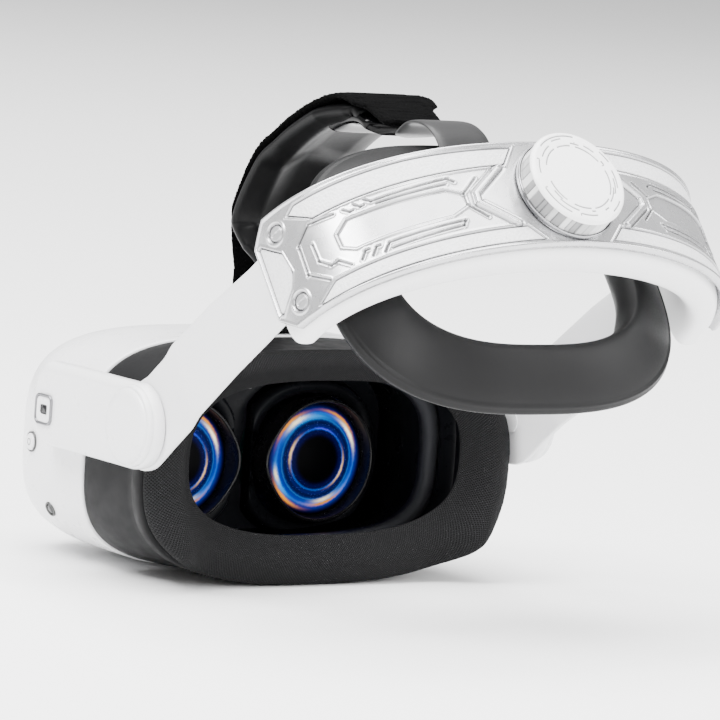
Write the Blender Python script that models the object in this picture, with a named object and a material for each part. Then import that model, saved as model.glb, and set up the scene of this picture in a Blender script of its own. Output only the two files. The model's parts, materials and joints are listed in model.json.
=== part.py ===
"""Head-worn display with a rigid rear band, a fitting dial, a head cradle and a top strap."""
import math

import bmesh
import bpy
from mathutils import Vector

# Overall layout, in metres. +X is the wearer's left, +Y is the back, +Z is up.
EYE_Y = -0.0729  # plane of the lens faces
EYE_Z = 0.0410  # height of the lens centres
LENS_OFFSET = 0.033  # each lens from the middle plane
PIVOT_Y = 0.0578  # strap pivot, behind the lens plane
PIVOT_Z = 0.0235  # strap pivot, above the lens centres
STRAP_PITCH = math.radians(39)
BAND_OFFSET = (0.00094, -0.00011)  # the rear band's origin from the pivot: forward, down
GAP = 0.0003

# Visor housing, measured from the eye point.
VISOR_HALF_WIDTH = 0.084
VISOR_HALF_HEIGHT = 0.0465
VISOR_CENTRE_Z = 0.0055
VISOR_POWER = 3.4
SEAM_Y = 0.008
SHELL_DEPTH = 0.074
SHELL_POWER = 4.5
SHELL_WALL = 0.0024
FRAME_BACK_Y = 0.0505
PAD_BACK_Y = 0.0545
PAD_SIDE_RISE = 0.011
RING_POINTS = 56

# Side pods and strap arms.
POD_INNER_X = 0.0844
POD_STEP_X = 0.0889
POD_OUTER_X = 0.0952
POD_FRONT_Y = -0.014
POD_STEP_Y = 0.033
POD_HALF_HEIGHT = 0.0165
ARM_INNER_X = 0.0856
ARM_THICKNESS = 0.0030
ARM_STEP = 0.0020  # how far the blade stands out from the foot
ARM_FOOT_RADIUS = 0.0172
PIN_RADIUS = 0.004

# Rear band, in the strap's frame: x across, y along the strap and z up.
BAND_START = 0.1085
BAND_HALF_WIDTH = 0.097
BAND_DEPTH = 0.0625
BAND_POWER = 2.3
BAND_Z = -0.0035
BAND_HALF_HEIGHT = 0.0228
BAND_DROOP = 0.0034  # how far the ends hang below the middle
COVER_THICKNESS = 0.0024
LINER_INNER_WIDTH = 0.082
LINER_INNER_DEPTH = 0.0425
LINER_DROP = 0.0012
LINER_WALL = 0.0032
CHANNEL_HALF_HEIGHT = 0.0175
DIAL_RADIUS = 0.0199
DIAL_BASE = 0.1738
DIAL_FACE = 0.1812
SHAFT_RADIUS = 0.005
PINION_RADIUS = 0.006

# Head cradle, in the strap's frame.
CRADLE_Z = -0.006
CRADLE_OUTER = (0.0785, 0.058, 0.1155)  # half width, half height, place along the strap
CRADLE_INNER = (0.056, 0.037, 0.1285)
CRADLE_HALF_THICKNESS = 0.003
CRADLE_POWER = 2.8


def clear_scene():
    for thing in list(bpy.data.objects):
        bpy.data.objects.remove(thing)


def material(name, colour, roughness, metallic=0.0):
    """A plain Principled material, made once for each name."""
    found = bpy.data.materials.get(name)
    if found:
        return found
    made = bpy.data.materials.new(name)
    made.use_nodes = True
    shader = made.node_tree.nodes["Principled BSDF"]
    shader.inputs["Base Color"].default_value = (*colour, 1.0)
    shader.inputs["Roughness"].default_value = roughness
    shader.inputs["Metallic"].default_value = metallic
    made.diffuse_color = (*colour, 1.0)
    return made


def white(name):
    return material(name, (0.86, 0.86, 0.87), 0.3)


def dark(name):
    return material(name, (0.045, 0.045, 0.048), 0.6)


def steel(name):
    return material(name, (0.6, 0.6, 0.62), 0.3, 1.0)


def empty(name, place, parent=None, pitch=0.0):
    """An empty that stands on a joint's axis or carries a group of pieces."""
    made = bpy.data.objects.new(name, None)
    made.location = place
    made.rotation_euler = (pitch, 0.0, 0.0)
    made.parent = parent
    bpy.context.collection.objects.link(made)
    return made


def finish(name, work, parent, look, smooth=True):
    """Turn a bmesh into a named object whose faces point out."""
    bmesh.ops.recalc_face_normals(work, faces=work.faces)
    mesh = bpy.data.meshes.new(name)
    work.to_mesh(mesh)
    work.free()
    if smooth:
        mesh.shade_smooth()
        mesh.set_sharp_from_angle(angle=math.radians(35))
    made = bpy.data.objects.new(name, mesh)
    made.parent = parent
    made.data.materials.append(look)
    bpy.context.collection.objects.link(made)
    return made


def loft(name, rings, parent, look, loop=False, smooth=True):
    """Skin a row of rings; a loop joins the last to the first, else both ends are capped."""
    work = bmesh.new()
    rows = [[work.verts.new(point) for point in ring] for ring in rings]
    last = len(rows) if loop else len(rows) - 1
    count = len(rows[0])
    for k in range(last):
        near = rows[k]
        far = rows[(k + 1) % len(rows)]
        for i in range(count):
            j = (i + 1) % count
            work.faces.new((near[i], near[j], far[j], far[i]))
    if not loop:
        work.faces.new(rows[0])
        work.faces.new(rows[-1])
    return finish(name, work, parent, look, smooth)


def cylinder(name, radius, start, end, parent, look, sides=32, axis="X", centre=(0, 0, 0)):
    """A round bar from start to end along an axis through centre."""
    rings = [circle(radius, at, sides, axis, centre) for at in (start, end)]
    return loft(name, rings, parent, look)


def circle(radius, at, sides, axis, centre):
    ring = []
    for i in range(sides):
        angle = 2 * math.pi * i / sides
        across = radius * math.cos(angle)
        up = radius * math.sin(angle)
        if axis == "X":
            point = (at, centre[1] + across, centre[2] + up)
        elif axis == "Y":
            point = (centre[0] + across, at, centre[2] + up)
        else:
            point = (centre[0] + across, centre[1] + up, at)
        ring.append(point)
    return ring


def box(name, low, high, parent, look):
    """A rectangular block between two corners."""
    ring = [(low[0], low[1]), (high[0], low[1]), (high[0], high[1]), (low[0], high[1])]
    rings = [[(x, y, z) for x, y in ring] for z in (low[2], high[2])]
    return loft(name, rings, parent, look, smooth=False)


def cut(body, cutter):
    """Take the cutter's shape out of the body."""
    cutter.hide_render = True
    cutter.display_type = "WIRE"
    step = body.modifiers.new("cut_" + cutter.name, "BOOLEAN")
    step.object = cutter
    step.operation = "DIFFERENCE"
    step.solver = "EXACT"


def rounded(value, power):
    return math.copysign(abs(value) ** (2 / power), value)


def oval(half_width, half_height, power, y, centre_z=0.0, count=RING_POINTS, centre_x=0.0):
    """A superellipse ring around the Y axis; y may depend on the point's x and z."""
    ring = []
    for i in range(count):
        angle = 2 * math.pi * (i + 0.5) / count
        x = half_width * rounded(math.cos(angle), power)
        z = half_height * rounded(math.sin(angle), power)
        place = y(x, z) if callable(y) else y
        ring.append((centre_x + x, place, centre_z + z))
    return ring


def shell_ring(scale, inset=0.0):
    """A ring of the front shell where its outline has shrunk to this share of full size."""
    depth = (1 - scale**SHELL_POWER) ** (1 / SHELL_POWER)
    y = SEAM_Y - (SHELL_DEPTH - inset) * depth
    width = (VISOR_HALF_WIDTH - inset) * scale
    height = (VISOR_HALF_HEIGHT - inset) * scale
    return oval(width, height, VISOR_POWER, y, VISOR_CENTRE_Z)


def front_shell(visor):
    scales = (1.0, 0.998, 0.985, 0.955, 0.9, 0.82, 0.68, 0.45, 0.2)
    inner = [shell_ring(s, SHELL_WALL) for s in reversed(scales)]
    outer = [shell_ring(s) for s in scales]
    shell = loft("front_shell", inner + outer, visor, white("shell_white"))
    for sign, side in ((1, "left"), (-1, "right")):
        cutter = cylinder("camera_hole_" + side, 0.0048, sign * 0.074, sign * 0.09, visor,
                          white("shell_white"), 24, "X", (0, -0.020, -0.021))
        cut(shell, cutter)
        cutter = cylinder("front_camera_hole_" + side, 0.0058, -0.070, -0.050, visor,
                          white("shell_white"), 24, "Y", (sign * 0.056, 0, 0.032))
        cut(shell, cutter)
    cut(shell, cylinder("button_hole", 0.0039, 0.074, 0.09, visor, white("shell_white"), 24, "X",
                        (0, -0.033, 0.004)))
    cut(shell, box("rocker_hole", (-0.0125, -0.032, -0.046), (0.0125, -0.026, -0.036), visor,
                   white("shell_white")))


def cameras(visor):
    for sign, side in ((1, "left"), (-1, "right")):
        cylinder("side_camera_" + side, 0.0045, sign * 0.0745, sign * 0.0805, visor,
                 material("camera_black", (0.02, 0.02, 0.025), 0.2), 24, "X", (0, -0.020, -0.021))
        cylinder("front_camera_" + side, 0.0055, -0.0612, -0.052, visor,
                 material("camera_black", (0.02, 0.02, 0.025), 0.2), 24, "Y",
                 (sign * 0.056, 0, 0.032))


def mid_frame(visor):
    """The open dark ring between the shell and the face pad."""
    sizes = (
        (0.0, 0.0086),
        (0.0006, 0.022),
        (0.0012, FRAME_BACK_Y),
    )
    outer = [oval(VISOR_HALF_WIDTH - 0.0004 - d, VISOR_HALF_HEIGHT - 0.0004 - d, VISOR_POWER, y,
                  VISOR_CENTRE_Z) for d, y in sizes]
    inner = [oval(VISOR_HALF_WIDTH - 0.0036 - d, VISOR_HALF_HEIGHT - 0.0036 - d, VISOR_POWER, y,
                  VISOR_CENTRE_Z) for d, y in reversed(sizes)]
    loft("mid_frame", outer + inner, visor, dark("frame_grey"), loop=True)


def pad_back(x, z, lift=0.0):
    """How far back the pad's rear face stands: further at the temples than at the nose."""
    return PAD_BACK_Y + PAD_SIDE_RISE * min(1.0, abs(x) / 0.085) ** 2.4 + lift


def face_pad(visor):
    profile = (
        (0.0840, 0.0452, 0.0, "front"),
        (0.0850, 0.0460, -0.0045, "back"),
        (0.0838, 0.0450, -0.0018, "back"),
        (0.0765, 0.0395, 0.0, "back"),
        (0.0695, 0.0345, -0.0015, "back"),
        (0.0665, 0.0320, -0.0045, "back"),
        (0.0675, 0.0328, 0.0, "front"),
    )
    rings = []
    for width, height, lift, end in profile:
        if end == "front":
            y = FRAME_BACK_Y + GAP
        else:
            y = lambda x, z, lift=lift: pad_back(x, z, lift)
        lift = 0.0022 * (0.0850 - width) / 0.0185
        rings.append(oval(width, height, 3.0, y, VISOR_CENTRE_Z + lift))
    loft("face_pad", rings, visor, dark("pad_fabric"), loop=True)


def pad_carrier(visor):
    """The stepped plate inside the mid frame that the pad clips to."""
    outer = [oval(0.0785, 0.0410, VISOR_POWER, y, VISOR_CENTRE_Z) for y in (0.0405, 0.0500)]
    inner = [oval(0.0715, 0.0355, VISOR_POWER, y, VISOR_CENTRE_Z) for y in (0.0500, 0.0405)]
    loft("pad_carrier", outer + inner, visor, dark("carrier_grey"), loop=True)


def lens_baffle(visor):
    """The dark wall around the lens barrels, with a slot for each to move along."""
    rings = [oval(0.0775, 0.0405, VISOR_POWER, y, VISOR_CENTRE_Z) for y in (-0.016, -0.013)]
    plate = loft("lens_baffle", rings, visor, dark("baffle_black"))
    for sign, side in ((1, "left"), (-1, "right")):
        rings = [oval(0.0305, 0.0268, 2.3, y, 0.0, 40, sign * LENS_OFFSET) for y in (-0.02, -0.01)]
        cut(plate, loft("barrel_slot_" + side, rings, visor, dark("baffle_black")))


def eye(sign, side, visor):
    """One barrel with its lens in front and its display behind."""
    carrier = empty("eye_" + side, (sign * LENS_OFFSET, 0, 0), visor)
    centre = (0, 0, 0)
    steps = ((0.0258, -0.028), (0.0258, -0.001), (0.0250, 0.001), (0.0236, 0.001),
             (0.0234, -0.0055), (0.0222, -0.0055), (0.0222, -0.028))
    rings = [circle(r, y, 40, "Y", centre) for r, y in steps]
    loft("lens_barrel_" + side, rings, carrier, dark("barrel_black"), loop=True)
    steps = ((0.008, -0.0005), (0.016, -0.0010), (0.0220, -0.0022), (0.0231, -0.0040),
             (0.0231, -0.0051), (0.016, -0.0052))
    rings = [circle(r, y, 40, "Y", centre) for r, y in steps]
    loft("lens_" + side, rings, carrier, material("lens_glass", (0.05, 0.2, 0.6), 0.05))
    box("display_" + side, (-0.015, -0.0278, -0.015), (0.015, -0.0248, 0.015), carrier,
        material("display_black", (0.01, 0.01, 0.012), 0.2))


def electronics(visor):
    """The pieces that the housing holds in front of the lenses."""
    box("main_board", (-0.060, -0.0365, -0.026), (0.060, -0.0345, 0.037), visor,
        material("board_green", (0.02, 0.16, 0.07), 0.5))
    box("battery", (-0.045, -0.0600, -0.018), (0.045, -0.0470, 0.028), visor,
        material("battery_foil", (0.3, 0.3, 0.32), 0.4))
    cylinder("cooling_fan", 0.017, -0.0460, -0.0370, visor, dark("fan_black"), 32, "Y",
             (0, 0, 0.004))
    box("proximity_sensor", (-0.004, -0.0127, 0.028), (0.004, -0.0095, 0.034), visor,
        dark("sensor_black"))


def controls(visor):
    cylinder("power_button", 0.0036, 0.0770, 0.0836, visor, white("button_white"), 24, "X",
             (0, -0.033, 0.004))
    box("volume_rocker", (-0.0120, -0.0316, -0.0402), (0.0120, -0.0264, -0.0368), visor,
        white("button_white"))


def stadium(front, rear, half_height, centre_z, corner, count=12):
    """A side view outline: a rounded front end and a round rear end about the pivot."""
    points = []
    for i in range(count):
        angle = -math.pi / 2 + math.pi * i / (count - 1)
        points.append((rear + half_height * math.cos(angle), centre_z + half_height * math.sin(angle)))
    for sign in (1, -1):
        for i in range(count // 2):
            angle = math.pi / 2 * i / (count // 2 - 1)
            if sign == -1:
                angle = math.pi / 2 - angle
            y = front + corner - corner * math.sin(angle)
            z = centre_z + sign * (half_height - corner + corner * math.cos(angle))
            points.append((y, z))
    return points


def pod(sign, side, visor):
    """The side housing that joins the visor to the strap pivot."""
    short = stadium(POD_FRONT_Y + 0.001, POD_STEP_Y - 0.0155, 0.0155, PIVOT_Z, 0.008)
    full = stadium(POD_FRONT_Y, PIVOT_Y, POD_HALF_HEIGHT, PIVOT_Z, 0.009)
    near = stadium(POD_FRONT_Y + 0.0012, PIVOT_Y, POD_HALF_HEIGHT - 0.0012, PIVOT_Z, 0.008)
    steps = ((POD_INNER_X, short), (POD_STEP_X, short), (POD_STEP_X + 0.0001, full),
             (POD_OUTER_X - 0.0015, full), (POD_OUTER_X, near))
    rings = [[(sign * x, y, z) for y, z in outline] for x, outline in steps]
    body = loft("pod_" + side, rings, visor, white("pod_white"))
    rings = [circle(r, sign * x, 32, "X", (0, PIVOT_Y, PIVOT_Z))
             for r, x in ((0.0145, POD_OUTER_X + GAP), (0.0145, POD_OUTER_X + 0.0008),
                          (0.0125, POD_OUTER_X + 0.0016))]
    loft("hinge_cap_" + side, rings, visor, white("cap_white"))
    cylinder("pivot_pin_" + side, PIN_RADIUS, sign * 0.0851, sign * 0.0886, visor,
             steel("pin_steel"), 24, "X", (0, PIVOT_Y, PIVOT_Z))
    return body


def rounded_bar(half_width, half_height, radius, x, y, z, count=5):
    """A rounded rectangle ring in the YZ plane."""
    ring = []
    for quarter in range(4):
        across = half_width - radius
        up = half_height - radius
        if quarter in (1, 2):
            across = -across
        if quarter in (2, 3):
            up = -up
        for i in range(count):
            angle = math.pi / 2 * (quarter + i / (count - 1))
            ring.append((x, y + across + radius * math.cos(angle), z + up + radius * math.sin(angle)))
    return ring


def charging_port(body, visor):
    """A rimmed socket near the front of the left pod."""
    y = -0.0045
    z = PIVOT_Z - 0.0025
    x = POD_OUTER_X
    rings = [rounded_bar(0.0062, 0.0062, 0.003, at, y, z) for at in (x - 0.0046, x + 0.001)]
    cut(body, loft("port_pocket", rings, visor, white("pod_white")))
    steps = ((0.0059, x - 0.0042), (0.0059, x - 0.0003), (0.0046, x - 0.0003), (0.0046, x - 0.0024),
             (0.0012, x - 0.0024), (0.0012, x - 0.0042))
    rings = []
    for size, at in steps:
        if size > 0.004:
            rings.append(rounded_bar(size, size, 0.0026, at, y, z))
        else:
            rings.append(rounded_bar(0.0041, 0.0013, 0.00125, at, y, z))
    loft("port_bezel", rings, visor, white("bezel_white"), loop=True)


def arm(sign, side, strap):
    """A flat strap arm: a round foot on the pivot, a blade that steps out, and a tail in the band."""
    stations = []
    for degrees in (172, 160, 145, 128, 110, 92):
        angle = math.radians(degrees)
        reach = ARM_FOOT_RADIUS * math.sin(angle)
        stations.append((ARM_FOOT_RADIUS * math.cos(angle), -reach, reach, 0.0))
    tail = BAND_START - BAND_OFFSET[0] + 0.009
    stations += [(0.012, -0.0170, 0.0148, 0.0), (0.0235, -0.0168, 0.0146, 0.0),
                 (0.0300, -0.0169, 0.0146, 0.7), (0.0350, -0.0170, 0.0146, 1.0),
                 (0.066, -0.0172, 0.0134, 1.0), (0.094, -0.0183, 0.0104, 1.0), (tail, -0.0189, 0.0096, 1.0)]
    rings = []
    for y, low, high, share in stations:
        near = ARM_INNER_X + ARM_STEP * share
        far = near + ARM_THICKNESS
        rings.append([(sign * near, y, low), (sign * far, y, low), (sign * far, y, high), (sign * near, y, high)])
    body = loft("arm_" + side, rings, strap, white("arm_white"))
    cut(body, cylinder("pin_hole_" + side, PIN_RADIUS + GAP, sign * 0.080, sign * 0.095, strap,
                       white("arm_white"), 24, "X"))


def band_point(angle, half_width, depth):
    """A point of a curve around the back of the head, in the strap's plane."""
    return (half_width * rounded(math.sin(angle), BAND_POWER),
            BAND_START + depth * abs(math.cos(angle)) ** (2 / BAND_POWER))


def band_sweep(name, profile, band, look, first=-90.0, last=90.0, steps=36):
    """Sweep a profile of (half width, depth, height) points around the band's curve."""
    rings = []
    for k in range(steps + 1):
        angle = math.radians(first + (last - first) * k / steps)
        drop = BAND_DROOP * abs(math.sin(angle)) ** 1.2
        rings.append([(*band_point(angle, w, d), z - drop) for w, d, z in profile])
    return loft(name, rings, band, look)


def band_liner(band):
    """The thick inner housing: a channel that the arms' tails and the drive run in."""
    outer = BAND_HALF_WIDTH - COVER_THICKNESS - GAP
    deep = BAND_DEPTH - COVER_THICKNESS - GAP
    inner = LINER_INNER_WIDTH
    near = LINER_INNER_DEPTH
    top = BAND_Z + BAND_HALF_HEIGHT - 0.0005
    low = BAND_Z - BAND_HALF_HEIGHT - LINER_DROP
    soft = 0.004
    lip = 0.001
    wall = LINER_WALL
    roof = BAND_Z + CHANNEL_HALF_HEIGHT
    base = BAND_Z - CHANNEL_HALF_HEIGHT
    profile = ((outer, deep, low + soft), (outer, deep, base), (inner + wall, near + wall, base),
               (inner + wall, near + wall, roof), (outer, deep, roof), (outer, deep, top - lip),
               (outer - lip, deep - lip, top), (inner + soft, near + soft, top),
               (inner + lip, near + lip, top - 0.0015), (inner, near, top - soft),
               (inner, near, low + soft), (inner + lip, near + lip, low + 0.0015),
               (inner + soft, near + soft, low), (outer - 0.003, deep - 0.003, low))
    band_sweep("band_liner", profile, band, white("liner_white"))


def band_cover(band):
    """The thin outer plate, bored for the dial's shaft and the screws."""
    inner = (BAND_HALF_WIDTH - COVER_THICKNESS, BAND_DEPTH - COVER_THICKNESS)
    mid = (BAND_HALF_WIDTH - 0.0008, BAND_DEPTH - 0.0008)
    top = BAND_Z + BAND_HALF_HEIGHT
    low = BAND_Z - BAND_HALF_HEIGHT
    edge = 0.0014
    profile = ((*inner, low), (*mid, low), (BAND_HALF_WIDTH, BAND_DEPTH, low + edge),
               (BAND_HALF_WIDTH, BAND_DEPTH, top - edge), (*mid, top), (*inner, top))
    body = band_sweep("band_cover", profile, band, material("cover_silver", (0.7, 0.7, 0.72), 0.3, 0.7))
    cut(body, cylinder("shaft_hole", SHAFT_RADIUS + GAP, 0.160, 0.180, band, white("cover_silver"),
                       24, "Y", (0, 0, BAND_Z)))
    for sign, side in ((1, "left"), (-1, "right")):
        for height, row in ((0.0112, "upper"), (-0.0182, "lower")):
            cut(body, cylinder("screw_hole_" + side + "_" + row, 0.0033, sign * 0.088, sign * 0.100,
                               band, white("cover_silver"), 16, "X", (0, 0.1200, BAND_Z + height)))


def band_trim(band):
    """Textured strips and end plates that stand on the cover, and its screws."""
    rise = GAP
    tall = 0.0011
    spans = (("left", 20.0, 66.0), ("right", -66.0, -20.0))
    for side, first, last in spans:
        for row, low, high in (("upper", 0.0135, 0.0195), ("lower", -0.0195, -0.0135)):
            profile = []
            for out, z in ((rise, low), (tall, low + 0.0004), (tall, high - 0.0004), (rise, high)):
                profile.append((BAND_HALF_WIDTH + out, BAND_DEPTH + out, BAND_Z + z))
            band_sweep("trim_" + row + "_" + side, profile, band,
                       material("trim_pearl", (0.75, 0.75, 0.76), 0.6, 0.3), first, last, 16)
    for sign, side in ((1, "left"), (-1, "right")):
        first, last = sorted((sign * 82.5, sign * 89.5))
        profile = []
        for out, z in ((rise, -0.008), (tall, -0.0076), (tall, 0.0076), (rise, 0.008)):
            profile.append((BAND_HALF_WIDTH + out, BAND_DEPTH + out, BAND_Z + z))
        band_sweep("end_plate_" + side, profile, band,
                   material("trim_pearl", (0.75, 0.75, 0.76), 0.6, 0.3), first, last, 4)
        for height, row in ((0.0112, "upper"), (-0.0182, "lower")):
            cylinder("screw_" + row + "_" + side, 0.003, sign * 0.0939, sign * 0.0962, band,
                     steel("screw_steel"), 16, "X", (0, 0.1200, BAND_Z + height))


def dial(band):
    """The fitting dial with its shaft and pinion, on the dial's axis."""
    axle = empty("dial_axle", (0, 0, BAND_Z), band)
    steps = ((SHAFT_RADIUS, 0.1655), (SHAFT_RADIUS, DIAL_BASE), (DIAL_RADIUS, DIAL_BASE),
             (DIAL_RADIUS, DIAL_FACE - 0.0012), (DIAL_RADIUS - 0.0012, DIAL_FACE))
    rings = [circle(r, y, 48, "Y", (0, 0, 0)) for r, y in steps]
    loft("fit_dial", rings, axle, white("dial_white"))
    cylinder("pinion", PINION_RADIUS, 0.1580, 0.1652, axle, steel("pinion_steel"), 24, "Y")
    steps = ((0.0152, 0.1714), (0.0213, 0.1714), (0.0213, 0.1727), (0.0206, 0.1733), (0.0152, 0.1733))
    rings = [circle(r, y, 48, "Y", (0, 0, BAND_Z)) for r, y in steps]
    loft("dial_bezel", rings, band, steel("bezel_chrome"), loop=True)


def racks(band):
    """The two drive racks that run past the pinion, one above it and one below."""
    for sign, side in ((1, "left"), (-1, "right")):
        low, high = sorted((sign * 0.0065, sign * 0.0105))
        start, end = sorted((sign * -0.010, sign * 0.036))
        box("rack_" + side, (start, 0.1575, BAND_Z + low), (end, 0.1612, BAND_Z + high), band,
            steel("rack_steel"))


def cradle(band):
    """The soft saddle-shaped ring that holds the back of the head, and its two mounts."""
    outer_w, outer_h, outer_y = CRADLE_OUTER
    inner_w, inner_h, inner_y = CRADLE_INNER
    slope = Vector((outer_w - inner_w, outer_y - inner_y)).normalized()
    side_x = -slope.y * CRADLE_HALF_THICKNESS
    side_y = slope.x * CRADLE_HALF_THICKNESS
    profile = []
    for share, bulge in ((0.0, 0.45), (0.08, 1.0), (0.5, 1.15), (0.92, 1.0), (1.0, 0.45)):
        profile.append((share, bulge))
    profile += [(share, -bulge) for share, bulge in reversed(profile)]
    rings = []
    for share, bulge in profile:
        w = outer_w + (inner_w - outer_w) * share + side_x * bulge
        h = outer_h + (inner_h - outer_h) * share + side_x * bulge
        y = outer_y + (inner_y - outer_y) * share + side_y * bulge
        rings.append(oval(w, h, CRADLE_POWER, y, CRADLE_Z, 48))
    loft("cradle_ring", rings, band, dark("cradle_leather"), loop=True)
    for sign, side in ((1, "left"), (-1, "right")):
        low, high = sorted((sign * 0.061, sign * 0.068))
        box("cradle_mount_" + side, (low, 0.1308, -0.014), (high, 0.1338, 0.004), band,
            dark("mount_black"))


def strap_path(points, steps):
    """A smooth curve through a short list of (y, z) points."""
    line = []
    for k in range(steps + 1):
        at = (len(points) - 1) * k / steps
        i = min(int(at), len(points) - 2)
        share = at - i
        p0 = Vector(points[max(i - 1, 0)])
        p1 = Vector(points[i])
        p2 = Vector(points[i + 1])
        p3 = Vector(points[min(i + 2, len(points) - 1)])
        line.append(0.5 * (2 * p1 + (p2 - p0) * share + (2 * p0 - 5 * p1 + 4 * p2 - p3) * share**2
                           + (3 * p1 - p0 - 3 * p2 + p3) * share**3))
    return line


def ribbon(name, points, half_width, low, high, parent, look, steps=24):
    """A flat strip along a path; its width may change along the way."""
    line = strap_path(points, steps)
    rings = []
    for k, here in enumerate(line):
        ahead = line[min(k + 1, steps)] - line[max(k - 1, 0)]
        side = Vector((-ahead.y, ahead.x)).normalized()
        wide = half_width(k / steps)
        under = here + side * low
        over = here + side * high
        rings.append([(-wide, *under), (wide, *under), (wide, *over), (-wide, *over)])
    return loft(name, rings, parent, look)


def top_strap(visor, band):
    """The padded strap over the head: fabric outside, liner inside, and the rear tab."""
    path = ((0.0005, 0.0565), (-0.001, 0.075), (0.0045, 0.0985), (0.0247, 0.1252), (0.0490, 0.1410),
            (0.0745, 0.1512), (0.0940, 0.1432))

    def fabric_width(share):
        return 0.0135 + 0.0075 * min(1.0, max(0.0, (share - 0.12) / 0.2))

    def liner_width(share):
        return 0.0185 - 0.004 * max(0.0, (share - 0.7) / 0.3)

    ribbon("top_strap_fabric", path, fabric_width, 0.0, 0.0022, visor, dark("strap_fabric"))
    ribbon("top_strap_liner", path[2:], liner_width, -0.0045, -GAP, visor, dark("strap_liner"))
    box("strap_anchor", (-0.019, -0.0035, 0.0524), (0.019, 0.0055, 0.0560), visor,
        dark("anchor_black"))
    back = ((0.1294, 0.0425), (0.1287, 0.0500), (0.1250, 0.0592), (0.1184, 0.0672))
    ribbon("rear_tab", back, lambda share: 0.0145, 0.0, 0.0018, band, dark("tab_leather"), 12)
    box("strap_buckle", (-0.0165, 0.1300, 0.0385), (0.0165, 0.1320, 0.0420), band,
        dark("buckle_black"))


def build():
    clear_scene()
    visor = empty("visor_frame", (0, EYE_Y, EYE_Z))
    strap = empty("strap_pivot", (0, PIVOT_Y, PIVOT_Z), visor, STRAP_PITCH)
    band = empty("band_slider", (0, -BAND_OFFSET[0], -BAND_OFFSET[1]), strap)
    front_shell(visor)
    cameras(visor)
    mid_frame(visor)
    pad_carrier(visor)
    face_pad(visor)
    lens_baffle(visor)
    electronics(visor)
    controls(visor)
    for sign, side in ((1, "left"), (-1, "right")):
        eye(sign, side, visor)
        body = pod(sign, side, visor)
        arm(sign, side, strap)
        if side == "left":
            charging_port(body, visor)
    band_liner(band)
    band_cover(band)
    band_trim(band)
    dial(band)
    racks(band)
    cradle(band)
    top_strap(visor, band)


build()
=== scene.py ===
import json
import math

import bpy
import numpy as np
from mathutils import Matrix, Vector


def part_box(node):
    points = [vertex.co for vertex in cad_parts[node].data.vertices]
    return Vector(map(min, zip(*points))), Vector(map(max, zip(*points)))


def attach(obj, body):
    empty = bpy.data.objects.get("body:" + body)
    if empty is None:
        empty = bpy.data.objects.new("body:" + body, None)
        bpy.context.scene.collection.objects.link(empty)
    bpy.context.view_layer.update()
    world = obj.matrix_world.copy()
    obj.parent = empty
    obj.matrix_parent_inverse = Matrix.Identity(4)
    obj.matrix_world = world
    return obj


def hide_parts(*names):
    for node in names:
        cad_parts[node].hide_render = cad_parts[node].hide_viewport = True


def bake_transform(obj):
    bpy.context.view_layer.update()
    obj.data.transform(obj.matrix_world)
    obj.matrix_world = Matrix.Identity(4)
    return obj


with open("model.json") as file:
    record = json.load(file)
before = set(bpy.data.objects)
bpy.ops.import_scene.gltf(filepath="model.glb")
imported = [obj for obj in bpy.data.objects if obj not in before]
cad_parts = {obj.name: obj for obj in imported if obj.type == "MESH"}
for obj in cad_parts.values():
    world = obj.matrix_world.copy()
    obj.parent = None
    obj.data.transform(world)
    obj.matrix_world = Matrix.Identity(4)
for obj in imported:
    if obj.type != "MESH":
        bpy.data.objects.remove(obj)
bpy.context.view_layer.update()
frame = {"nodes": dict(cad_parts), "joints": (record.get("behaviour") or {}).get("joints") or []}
print("frame loaded:", len(frame["nodes"]), "nodes")

joints = {joint["name"]: joint for joint in frame["joints"]}
barrelLow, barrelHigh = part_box("lens_barrel_left")
eye = np.array([0.0, barrelHigh.y - 0.001, (barrelLow.z + barrelHigh.z) / 2])
lensOffset = (barrelLow.x + barrelHigh.x) / 2
pivot = np.array(joints["strap_pitch"]["pos_m"])
along = np.array(joints["band_slide"]["axis"])
along = along / np.linalg.norm(along)
upward = np.cross([1.0, 0.0, 0.0], along)
pivotY, pivotZ = pivot[1] - eye[1], pivot[2] - eye[2]
bandOrigin = pivot - 0.00094 * along + 0.00011 * upward  # where the rear band's own sizes start


def fromEye(x, y, z):
    # a point given from the middle of the lens faces, put in the frame
    return np.stack(np.broadcast_arrays(x, y, z), -1) + eye


def fromStrap(x, u, v, origin=bandOrigin):
    # x across, u along the strap from its origin, v square to both
    x, u, v = np.broadcast_arrays(x, u, v)
    out = u[..., None] * along + v[..., None] * upward + origin
    out[..., 0] = x
    return out


def smooth(t):
    t = np.clip(t, 0, 1)
    return t * t * (3 - 2 * t)


def bell(x, width):
    # one in the middle, falling off softly on both sides
    return np.exp(-((x / width) ** 2))


def squared(wave, power):
    # a sine or cosine flattened towards a square wave as the power grows
    return np.sign(wave) * np.abs(wave) ** (2 / power)


def fullTurn(count):
    return np.linspace(0, 2 * np.pi, count, endpoint=False)


camera = dict(lens=225.0, turn=35.0, rise=6.2, roll=4.3, distance=1.8072, aside=-0.0438, down=0.0406)


def addCamera():
    turn, rise, roll = (math.radians(camera[k]) for k in ("turn", "rise", "roll"))
    look = Vector((-math.sin(turn) * math.cos(rise), -math.cos(turn) * math.cos(rise), -math.sin(rise)))
    level = Vector((-math.cos(turn), math.sin(turn), 0))
    tall = level.cross(look)
    right = level * math.cos(roll) + tall * math.sin(roll)
    up = tall * math.cos(roll) - level * math.sin(roll)
    place = Vector(eye) - look * camera["distance"] - right * camera["aside"] + up * camera["down"]
    data = bpy.data.cameras.new("camera")
    data.lens = camera["lens"]
    data.sensor_width = 36.0
    data.clip_end = 50
    thing = bpy.data.objects.new("camera", data)
    bpy.context.collection.objects.link(thing)
    turned = Matrix((right, up, -look)).transposed().to_4x4()
    thing.matrix_world = Matrix.Translation(place) @ turned
    bpy.context.scene.camera = thing


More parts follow.
